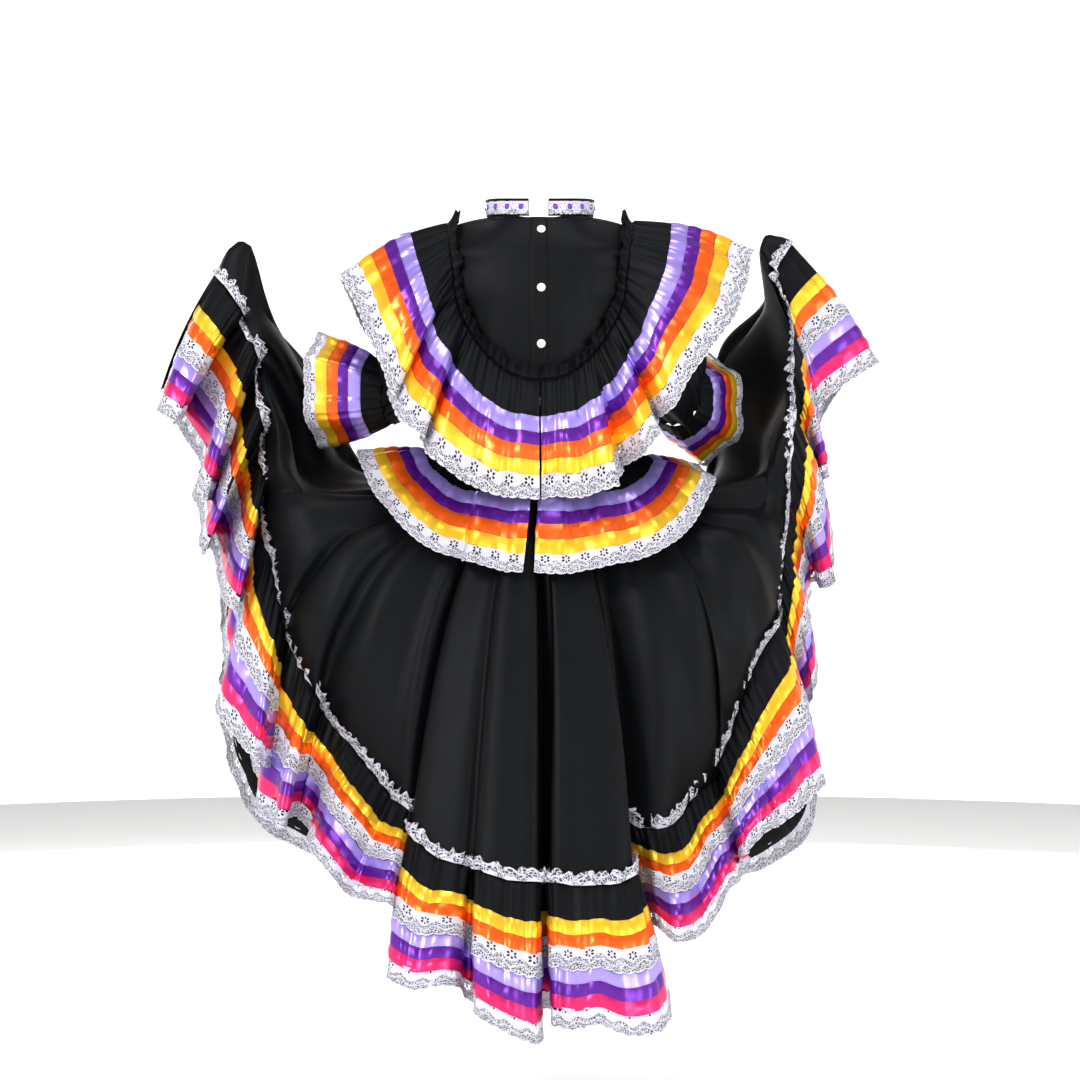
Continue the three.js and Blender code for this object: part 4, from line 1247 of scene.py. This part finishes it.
def make_heading(tops):
    """The crinkled edge that stands up from the gathering line."""
    # A cloth needs two rows, so the second lies a hair's breadth off the first.
    pair = np.stack((tops, tops * 1.0001), axis=1)
    base = Cloth(pair, (0, 1), closed=False, step=HEADING_STEP, rows=(0, 1), waves=NO_WAVES, seed=2)
    line, along = base.points[:, 0], base.along
    centre = np.stack((0 * line[:, 0], line[:, 1], np.maximum(0.330, line[:, 2] + 0.030)), axis=1)
    inward = centre - line
    inward /= np.linalg.norm(inward, axis=1, keepdims=True)
    rise = np.maximum(0, line[:, 2] - 0.300)
    away = np.stack((0.35 * line[:, 0], line[:, 1], 1.2 * rise), axis=1)
    away /= np.maximum(np.linalg.norm(away, axis=1, keepdims=True), 1e-9)
    side = np.gradient(line, axis=0)
    side /= np.linalg.norm(side, axis=1, keepdims=True)
    turn = 2 * math.pi * along / CRINKLE_PITCH + 3.2 * steady(along / 0.03, 12)
    crinkle = np.sin(turn)
    fine = np.sin(2 * math.pi * along / FINE_CRINKLE_PITCH + 3.0 * steady(along / 0.02, 15))
    tall = settings().heading_width * (1.0 + 0.22 * steady(along / 0.012, 5) + 0.16 * crinkle)
    rows = np.linspace(0, 1, 9)
    columns = []
    for row in rows:
        lean = 0.002 + 0.012 * row ** 1.4 + 0.0062 * row * crinkle + 0.0018 * fine * (0.3 + row)
        sway = 0.003 * row * np.cos(turn)
        up = inward * (0.001 + tall * row)[:, None]
        columns.append(line + up + away * lean[:, None] + side * sway[:, None])
    points = np.stack(columns[::-1], axis=1)
    uvs = np.stack(np.broadcast_arrays(along[:, None], rows[None, ::-1] * settings().heading_width), axis=2)
    piece = thicken(cloth_piece("bertha_heading_piece", points, uvs), settings().flounce_wall)
    dress_piece(piece, FINISHES["black"], ["bertha_heading"])


def make_peplum():
    angles = np.radians([row[0] for row in PEPLUM_FOLDS])
    wide, deep = PEPLUM_TOP_HALF
    level = np.full(len(angles), PEPLUM_TOP_Z)
    tops = np.stack((wide * np.sin(angles), -deep * np.cos(angles), level), axis=1) * MM
    hems = np.array([row[1:4] for row in PEPLUM_FOLDS], dtype=float) * MM
    make_flounce(
        "peplum", tops, hems, PEPLUM_BANDS, bulge=PEPLUM_BULGE, waves=PEPLUM_WAVES, seed=83,
        closed=False, step=FLOUNCE_STEP,
    )


def sleeve_ring(row, wave):
    """The points of one ring of a sleeve; wave moves every other point in and out."""
    x, y, z, ax, ay, az, up, across = row
    centre = Vector((x, y, z))
    axis = Vector((ax, ay, az)).normalized()
    first = (Vector((0, 0, 1)) - axis * axis.z).normalized()
    second = first.cross(axis)
    points = []
    for i in range(SLEEVE_COLUMNS):
        angle = i / SLEEVE_COLUMNS * 2 * math.pi
        swell = 1 + (wave if i % 2 == 0 else -wave) / up
        rise = first * up * swell * math.cos(angle)
        points.append(centre + rise + second * across * swell * math.sin(angle))
    return np.array(points) * MM


def make_sleeves():
    for side, outward in (("left", -1), ("right", 1)):
        rings = SLEEVE_RINGS[side]
        grid = np.stack([sleeve_ring(row, 0) for row in rings[:5]], axis=1)
        grid[:, 0, 0] += outward * ARMHOLE_GAP
        rows = np.linspace(0, 1, 44)
        cloth = Cloth(
            grid, SLEEVE_SHARES, closed=True, step=SLEEVE_STEP, rows=rows, waves=SLEEVE_WAVES, seed=90
        )
        piece = cloth_panel(f"sleeve_{side}_piece", cloth, settings().flounce_wall, closed=True)
        dress_piece(piece, FINISHES["black"], [f"sleeve_{side}"])
        tops = sleeve_ring(rings[4], 0)
        hems = sleeve_ring(rings[5], CUFF_WAVE)
        make_flounce(
            f"sleeve_{side}", tops, hems, SLEEVE_BANDS, bulge=CUFF_BULGE, waves=CUFF_WAVES, seed=95,
            closed=True, step=CUFF_STEP, ground=f"sleeve_ruffle_{side}",
        )


# ---- materials --------------------------------------------------------------------
def shade(colour, share):
    """A colour made darker or lighter, as a socket value."""
    return (*[min(1.0, part * share) for part in colour], 1.0)


def node(tree, kind, inputs=(), **properties):
    """Add a node with its properties; an input is a value, a socket or a node's first output."""
    made = tree.nodes.new(kind)
    for name, value in properties.items():
        setattr(made, name, value)
    for key, value in inputs.items() if isinstance(inputs, dict) else enumerate(inputs):
        source = value.outputs[0] if isinstance(value, bpy.types.Node) else value
        if isinstance(source, bpy.types.NodeSocket):
            tree.links.new(source, made.inputs[key])
        else:
            made.inputs[key].default_value = source
    return made


def new_finish(name, **constants):
    """A material, its node tree and its shader, with the shader's sockets set by name."""
    finish = bpy.data.materials.new(name)
    finish.use_nodes = True
    shader = finish.node_tree.nodes["Principled BSDF"]
    for socket, value in constants.items():
        shader.inputs[socket.replace("_", " ")].default_value = value
    return finish, finish.node_tree, shader


def clouded(tree, shader, vector, scale, dark, light, detail=2.0, distortion=0.0):
    """Colour a shader by soft noise between two tones."""
    noise = node(
        tree, "ShaderNodeTexNoise",
        {"Vector": vector, "Scale": scale, "Detail": detail, "Distortion": distortion},
    )
    tone = node(tree, "ShaderNodeValToRGB", (noise,))
    tone.color_ramp.elements[0].color = dark
    tone.color_ramp.elements[1].color = light
    tree.links.new(tone.outputs["Color"], shader.inputs["Base Color"])
    return tone.color_ramp.elements


def woven_polyester():
    """Black polyester, plain woven and piece-dyed: matt, with a faint sheen and uneven dye."""
    finish, tree, shader = new_finish(
        "black woven polyester", Roughness=0.5, Specular_IOR_Level=0.11,
        Sheen_Weight=0.008, Sheen_Roughness=0.4, Sheen_Tint=(0.75, 0.78, 0.9, 1),
    )
    place = node(tree, "ShaderNodeTexCoord")
    thread_mm = 0.88826  # real threads are 0.25 mm, too fine to show
    # At scale 1, a wave texture's bands are 2 pi / 20 apart.
    turns = 2 * math.pi / 20 / (thread_mm * MM)
    scaled = node(tree, "ShaderNodeMapping", {"Vector": place.outputs["UV"], "Scale": (turns, turns, 1)})
    warp = node(tree, "ShaderNodeTexWave", {"Vector": scaled, "Scale": 1.0}, bands_direction="X")
    weft = node(tree, "ShaderNodeTexWave", {"Vector": scaled, "Scale": 1.0}, bands_direction="Y")
    weave = node(tree, MATH, (warp.outputs["Fac"], weft.outputs["Fac"]), operation="MAXIMUM")
    bump = node(tree, "ShaderNodeBump", {"Height": weave, "Strength": 0.12, "Distance": 0.0002})
    tree.links.new(bump.outputs["Normal"], shader.inputs["Normal"])
    patch_mm = 1000 / 14
    base = settings().black
    dark, light = shade(base, 0.8), shade(base, 1.25)
    dye = clouded(tree, shader, place.outputs["Object"], 1000 / patch_mm, dark, light, 4.0)
    dye[0].position = 0.3
    dye[1].position = 0.75
    return finish


def satin(colour):
    """Polyester satin ribbon: its long floats give tinted highlights with sharp borders."""
    # Half metallic, because the threads tint their own highlights.
    finish, tree, shader = new_finish(
        f"{colour} polyester satin", Roughness=0.3, Metallic=0.55, Specular_IOR_Level=0.45,
        Coat_Weight=0.12, Coat_Roughness=0.25,
    )
    base = getattr(settings(), colour)
    uv = node(tree, "ShaderNodeTexCoord").outputs["UV"]
    place = node(tree, "ShaderNodeSeparateXYZ", (uv,))
    # Real floats are 0.1 mm wide and 1 mm long; bundles of them are drawn, so that they show.
    wide_mm, long_mm = 4.8, 1000 / 60
    bundles = (1000 / wide_mm, 1000 / long_mm, 1)
    stretched = node(tree, "ShaderNodeMapping", {"Vector": uv, "Scale": bundles})
    floats = node(tree, "ShaderNodeTexNoise", {"Vector": stretched, "Scale": 1.0, "Detail": 2.0})
    # A line of dashed stitches runs along both edges.
    stitch_mm, inset_mm, half_thread_mm = 2.6, 1.6, 0.4
    half = RIBBON_WIDTH * MM / 2
    across = node(tree, MATH, (place.outputs["Y"], half), operation="SUBTRACT")
    from_middle = node(tree, MATH, (across,), operation="ABSOLUTE")
    beside = node(tree, MATH, (from_middle, half - inset_mm * MM), operation="SUBTRACT")
    from_line = node(tree, MATH, (beside,), operation="ABSOLUTE")
    line = node(tree, MATH, (from_line, half_thread_mm * MM), operation="LESS_THAN")
    turn = node(tree, MATH, (place.outputs["X"], 2 * math.pi * 1000 / stitch_mm), operation="MULTIPLY")
    dashes = node(tree, MATH, (node(tree, MATH, (turn,), operation="SINE"), -0.3), operation="GREATER_THAN")
    stitch = node(tree, MATH, (line, dashes), operation="MULTIPLY")
    tones = {0: stitch, 6: shade(base, 1), 7: shade(base, 0.5)}
    mix = node(tree, "ShaderNodeMix", tones, data_type="RGBA")
    sunk = node(tree, MATH, (line, 0.8), operation="MULTIPLY")
    height = node(tree, MATH, (floats.outputs["Fac"], sunk), operation="SUBTRACT")
    bump = node(tree, "ShaderNodeBump", {"Height": height, "Strength": 0.22, "Distance": 0.0004})
    tree.links.new(mix.outputs[2], shader.inputs["Base Color"])
    tree.links.new(bump.outputs["Normal"], shader.inputs["Normal"])
    return finish


def raschel_lace():
    """Knitted polyester lace: matt white, dense at the flowers, with a wavy field of open net."""
    finish, tree, shader = new_finish("white knitted lace", Roughness=0.85, Specular_IOR_Level=0.2)
    base = settings().lace
    uv = node(tree, "ShaderNodeTexCoord").outputs["UV"]
    place = node(tree, "ShaderNodeSeparateXYZ", (uv,))
    down = place.outputs["Y"]
    net_mm = 3.2  # the real net is 1.2 mm, drawn coarser so that it shows
    mesh = {"Vector": uv, "Scale": 1000 / net_mm}
    cells = node(tree, "ShaderNodeTexVoronoi", mesh, feature="DISTANCE_TO_EDGE")
    hole = node(tree, MATH, (cells.outputs["Distance"], 0.11), operation="GREATER_THAN")
    # The field of net lies between two waves that follow the flowers and the scallops.
    turn = node(tree, MATH, (place.outputs["X"], 2 * math.pi * 1000 / LACE_REPEAT), operation="MULTIPLY")
    cosine = node(tree, MATH, (turn,), operation="COSINE")
    sine = node(tree, MATH, (turn,), operation="SINE")
    wave = node(tree, MATH, (cosine, 0.0034), operation="MULTIPLY")
    upper = node(tree, MATH, (wave, down), operation="ADD")
    below_flowers = node(tree, MATH, (upper, 0.0148), operation="GREATER_THAN")
    arches = node(tree, MATH, (sine,), operation="ABSOLUTE")
    scallop = node(tree, MATH, (arches, 0.0026), operation="MULTIPLY")
    foot = node(tree, MATH, (scallop, 0.0296), operation="ADD")
    above_foot = node(tree, MATH, (down, foot), operation="LESS_THAN")
    field = node(tree, MATH, (below_flowers, above_foot), operation="MULTIPLY")
    # A solid rib 1.8 mm wide runs through the field.
    from_rib = node(tree, MATH, (upper, 0.0222), operation="SUBTRACT")
    beside_rib = node(tree, MATH, (from_rib,), operation="ABSOLUTE")
    off_rib = node(tree, MATH, (beside_rib, 0.0009), operation="GREATER_THAN")
    in_field = node(tree, MATH, (hole, field), operation="MULTIPLY")
    open_net = node(tree, MATH, (in_field, off_rib), operation="MULTIPLY")
    stitch_mm = 1.3  # real knitted stitches are 0.4 mm
    stitches = node(tree, "ShaderNodeTexVoronoi", {"Vector": uv, "Scale": 1000 / stitch_mm})
    thread = node(tree, MATH, (stitches.outputs["Distance"], 0.35), operation="MULTIPLY")
    tone = node(tree, MATH, (1.0, thread), operation="SUBTRACT")
    whites = {0: tone, 6: shade(base, 0.45), 7: shade(base, 1)}
    white = node(tree, "ShaderNodeMix", whites, data_type="RGBA")
    # What shows through the holes is dark cloth.
    holed = {0: open_net, 6: white.outputs[2], 7: (0.07, 0.07, 0.085, 1)}
    colour = node(tree, "ShaderNodeMix", holed, data_type="RGBA")
    height = node(tree, MATH, (thread, open_net), operation="SUBTRACT")
    bump = node(tree, "ShaderNodeBump", {"Height": height, "Strength": 0.5, "Distance": 0.0004})
    tree.links.new(colour.outputs[2], shader.inputs["Base Color"])
    tree.links.new(bump.outputs["Normal"], shader.inputs["Normal"])
    return finish


def pearl_resin():
    """Cast and polished polyester button: glossy white with a pearly swirl."""
    finish, tree, shader = new_finish("pearl polyester resin", Roughness=0.18, Coat_Weight=0.5)
    place = node(tree, "ShaderNodeTexCoord").outputs["Object"]
    swirl_mm = 1000 / 260
    base = settings().button
    clouded(tree, shader, place, 1000 / swirl_mm, shade(base, 0.82), shade(base, 1), 3.0, 1.2)
    return finish


def moulded_acrylic():
    """Moulded acrylic gem: deep purple, flat facets and a hard gloss."""
    finish, tree, shader = new_finish("purple acrylic gem", Roughness=0.06, Coat_Weight=0.8, IOR=1.49)
    place = node(tree, "ShaderNodeTexCoord").outputs["Object"]
    depth_mm = 1000 / 420
    base = settings().gem
    clouded(tree, shader, place, 1000 / depth_mm, shade(base, 0.6), shade(base, 1.5))
    return finish


def studio_paper():
    """Pale uncoated background paper: wholly matt, lit a little from within to stay white."""
    finish, tree, shader = new_finish("matt studio paper", Roughness=0.95, Emission_Strength=0.36)
    shader.inputs["Base Color"].default_value = (*settings().floor, 1)
    shader.inputs["Emission Color"].default_value = (1, 1, 1, 1)
    return finish


def make_finishes():
    FINISHES["black"] = woven_polyester()
    for colour in RIBBON_COLOURS:
        FINISHES[colour] = satin(colour)
    FINISHES["lace"] = raschel_lace()
    FINISHES["button"] = pearl_resin()
    FINISHES["gem"] = moulded_acrylic()
    FINISHES["floor"] = studio_paper()


# ---- stage ------------------------------------------------------------------------
def make_floor():
    """A pale floor that curves up into a wall all round."""
    profile = [(0.0, FLOOR_Z), (FLOOR_RADIUS, FLOOR_Z)]
    for k in range(1, 9):
        turn = k / 8 * math.pi / 2
        out = FLOOR_RADIUS + FLOOR_CURVE * math.sin(turn)
        profile.append((out, FLOOR_Z + FLOOR_CURVE * (1 - math.cos(turn))))
    profile.append((FLOOR_RADIUS + FLOOR_CURVE, FLOOR_Z + WALL_TOP))
    bm = bmesh.new()
    lathe(bm, profile, 72)
    flat = [face for face in bm.faces if face.calc_center_median().z < FLOOR_Z + 0.01]
    bmesh.ops.reverse_faces(bm, faces=[face for face in flat if face.normal.z < 0])
    floor = finish_bmesh(bm, "studio_floor")
    floor.data.materials.append(FINISHES["floor"])


def make_stage():
    """Floor, soft lights and the camera behind the wearer."""
    scene = bpy.context.scene
    make_floor()
    # The standard view keeps the ribbons' colours; the default one greys them.
    scene.view_settings.view_transform = "Standard"
    world = bpy.data.worlds.new("studio")
    scene.world = world
    world.use_nodes = True
    background = world.node_tree.nodes["Background"]
    background.inputs["Color"].default_value = (1, 1, 1, 1)
    background.inputs["Strength"].default_value = 0.36
    for name, place, size, power in LIGHTS:
        light = bpy.data.lights.new(name, "AREA")
        light.shape = "RECTANGLE"
        light.size, light.size_y = size
        light.energy = power
        lamp = bpy.data.objects.new(name, light)
        lamp.location = place
        lamp.rotation_euler = (Vector(LIGHTS_AIM) - Vector(place)).to_track_quat("-Z", "Y").to_euler()
        lamp.visible_camera = False
        scene.collection.objects.link(lamp)
    camera = bpy.data.cameras.new("camera")
    camera.lens = CAMERA_LENS
    camera.sensor_width = CAMERA_SENSOR
    eye = bpy.data.objects.new("camera", camera)
    eye.location = CAMERA_PLACE
    eye.rotation_euler = (math.pi / 2, 0, 0)
    scene.collection.objects.link(eye)
    scene.camera = eye


# ---- add-on -----------------------------------------------------------------------
class DressSettings(bpy.types.PropertyGroup):
    """The colours and sizes that a maker would choose"""

    black: bpy.props.FloatVectorProperty(
        name="Cloth",
        description="Ground cloth of blouse and skirt",
        subtype="COLOR", min=0, max=1, default=linear(HEX["black"]),
    )
    lilac: bpy.props.FloatVectorProperty(
        name="Lilac ribbon",
        description="Lighter of the two violet ribbons",
        subtype="COLOR", min=0, max=1, default=linear(HEX["lilac"]),
    )
    purple: bpy.props.FloatVectorProperty(
        name="Purple ribbon",
        description="Darker of the two violet ribbons",
        subtype="COLOR", min=0, max=1, default=linear(HEX["purple"]),
    )
    orange: bpy.props.FloatVectorProperty(
        name="Orange ribbon",
        description="Ribbon beside the yellow one",
        subtype="COLOR", min=0, max=1, default=linear(HEX["orange"]),
    )
    yellow: bpy.props.FloatVectorProperty(
        name="Yellow ribbon",
        description="First ribbon of the skirt and last one of the blouse",
        subtype="COLOR", min=0, max=1, default=linear(HEX["yellow"]),
    )
    magenta: bpy.props.FloatVectorProperty(
        name="Magenta ribbon",
        description="Last ribbon of the skirt",
        subtype="COLOR", min=0, max=1, default=linear(HEX["magenta"]),
    )
    lace: bpy.props.FloatVectorProperty(
        name="Lace",
        description="Lace bands and ruched edging",
        subtype="COLOR", min=0, max=1, default=linear(HEX["lace"]),
    )
    button: bpy.props.FloatVectorProperty(
        name="Buttons",
        description="Buttons down the back",
        subtype="COLOR", min=0, max=1, default=linear(HEX["button"]),
    )
    gem: bpy.props.FloatVectorProperty(
        name="Gems",
        description="Gems on the collar",
        subtype="COLOR", min=0, max=1, default=linear(HEX["gem"]),
    )
    floor: bpy.props.FloatVectorProperty(
        name="Floor",
        description="Studio floor and wall",
        subtype="COLOR", min=0, max=1, default=linear(HEX["floor"]),
    )
    cloth_wall: bpy.props.FloatProperty(
        name="Cloth wall",
        description="Thickness of the skirt and bodice cloth",
        unit="LENGTH", precision=4, min=0, default=0.0008,
    )
    flounce_wall: bpy.props.FloatProperty(
        name="Flounce wall",
        description="Thickness of flounces, ruffles and sleeves",
        unit="LENGTH", precision=4, min=0, default=0.0006,
    )
    button_diameter: bpy.props.FloatProperty(
        name="Button",
        description="Diameter of a button",
        unit="LENGTH", precision=4, min=0, default=0.0135,
    )
    button_thickness: bpy.props.FloatProperty(
        name="Button thickness",
        description="Thickness of a button at its rim",
        unit="LENGTH", precision=4, min=0, default=0.0026,
    )
    placket_width: bpy.props.FloatProperty(
        name="Button stand",
        description="Width of the button stand",
        unit="LENGTH", precision=4, min=0, default=0.027,
    )
    heading_width: bpy.props.FloatProperty(
        name="Heading",
        description="Height of the crinkled edge of the blouse flounce",
        unit="LENGTH", precision=4, min=0, default=0.02,
    )


class DRESS_OT_finishes(bpy.types.Operator):
    """Make the finishes of cloth, ribbon, lace, buttons, gems and floor"""

    bl_idname = "dress.finishes"
    bl_label = "Finishes"

    def execute(self, context):
        make_finishes()
        return {"FINISHED"}


class DRESS_OT_skirt(bpy.types.Operator):
    """Make the four panels of the circle skirt and its waistband"""

    bl_idname = "dress.skirt"
    bl_label = "Skirt"

    def execute(self, context):
        make_skirt()
        make_waistband()
        return {"FINISHED"}


class DRESS_OT_ruffle(bpy.types.Operator):
    """Make the skirt ruffle with its ribbons, laces and ruched edging"""

    bl_idname = "dress.ruffle"
    bl_label = "Skirt ruffle"

    def execute(self, context):
        make_ruffle()
        return {"FINISHED"}


class DRESS_OT_bodice(bpy.types.Operator):
    """Make the bodice, its button stand and buttons"""

    bl_idname = "dress.bodice"
    bl_label = "Bodice"

    def execute(self, context):
        make_bodice()
        for number in range(1, BUTTON_COUNT + 1):
            make_button(number)
        return {"FINISHED"}


class DRESS_OT_collar(bpy.types.Operator):
    """Make the stand collar with its lace and gems"""

    bl_idname = "dress.collar"
    bl_label = "Collar"

    def execute(self, context):
        make_collar()
        return {"FINISHED"}


class DRESS_OT_bertha(bpy.types.Operator):
    """Make the deep flounce of the blouse and its crinkled heading"""

    bl_idname = "dress.bertha"
    bl_label = "Blouse flounce"

    def execute(self, context):
        make_bertha()
        return {"FINISHED"}


class DRESS_OT_peplum(bpy.types.Operator):
    """Make the peplum"""

    bl_idname = "dress.peplum"
    bl_label = "Peplum"

    def execute(self, context):
        make_peplum()
        return {"FINISHED"}


class DRESS_OT_sleeves(bpy.types.Operator):
    """Make both puffed sleeves and their cuff flounces"""

    bl_idname = "dress.sleeves"
    bl_label = "Sleeves"

    def execute(self, context):
        make_sleeves()
        return {"FINISHED"}


class DRESS_OT_stage(bpy.types.Operator):
    """Make the floor, lights and camera"""

    bl_idname = "dress.stage"
    bl_label = "Stage"

    def execute(self, context):
        make_stage()
        return {"FINISHED"}


OPERATORS = (
    DRESS_OT_finishes, DRESS_OT_stage, DRESS_OT_skirt, DRESS_OT_ruffle, DRESS_OT_bodice,
    DRESS_OT_collar, DRESS_OT_bertha, DRESS_OT_peplum, DRESS_OT_sleeves,
)


class DRESS_PT_panel(bpy.types.Panel):
    """Lists the settings and the pieces of the dress"""

    bl_idname = "DRESS_PT_panel"
    bl_label = "Jalisco dress"
    bl_space_type = "VIEW_3D"
    bl_region_type = "UI"
    bl_category = "Dress"

    def draw(self, context):
        column = self.layout.column()
        for name in DressSettings.__annotations__:
            column.prop(context.scene.dress_settings, name)
        for operator in OPERATORS:
            column.operator(operator.bl_idname)


def register():
    for cls in (DressSettings, *OPERATORS, DRESS_PT_panel):
        bpy.utils.register_class(cls)
    bpy.types.Scene.dress_settings = bpy.props.PointerProperty(type=DressSettings)


def unregister():
    del bpy.types.Scene.dress_settings
    for cls in reversed((DressSettings, *OPERATORS, DRESS_PT_panel)):
        bpy.utils.unregister_class(cls)


def main():
    register()
    bpy.ops.dress.finishes()
    bpy.ops.dress.stage()
    bpy.ops.dress.skirt()
    bpy.ops.dress.ruffle()
    bpy.ops.dress.bodice()
    bpy.ops.dress.collar()
    bpy.ops.dress.bertha()
    bpy.ops.dress.peplum()
    bpy.ops.dress.sleeves()


if __name__ == "__main__":
    main()
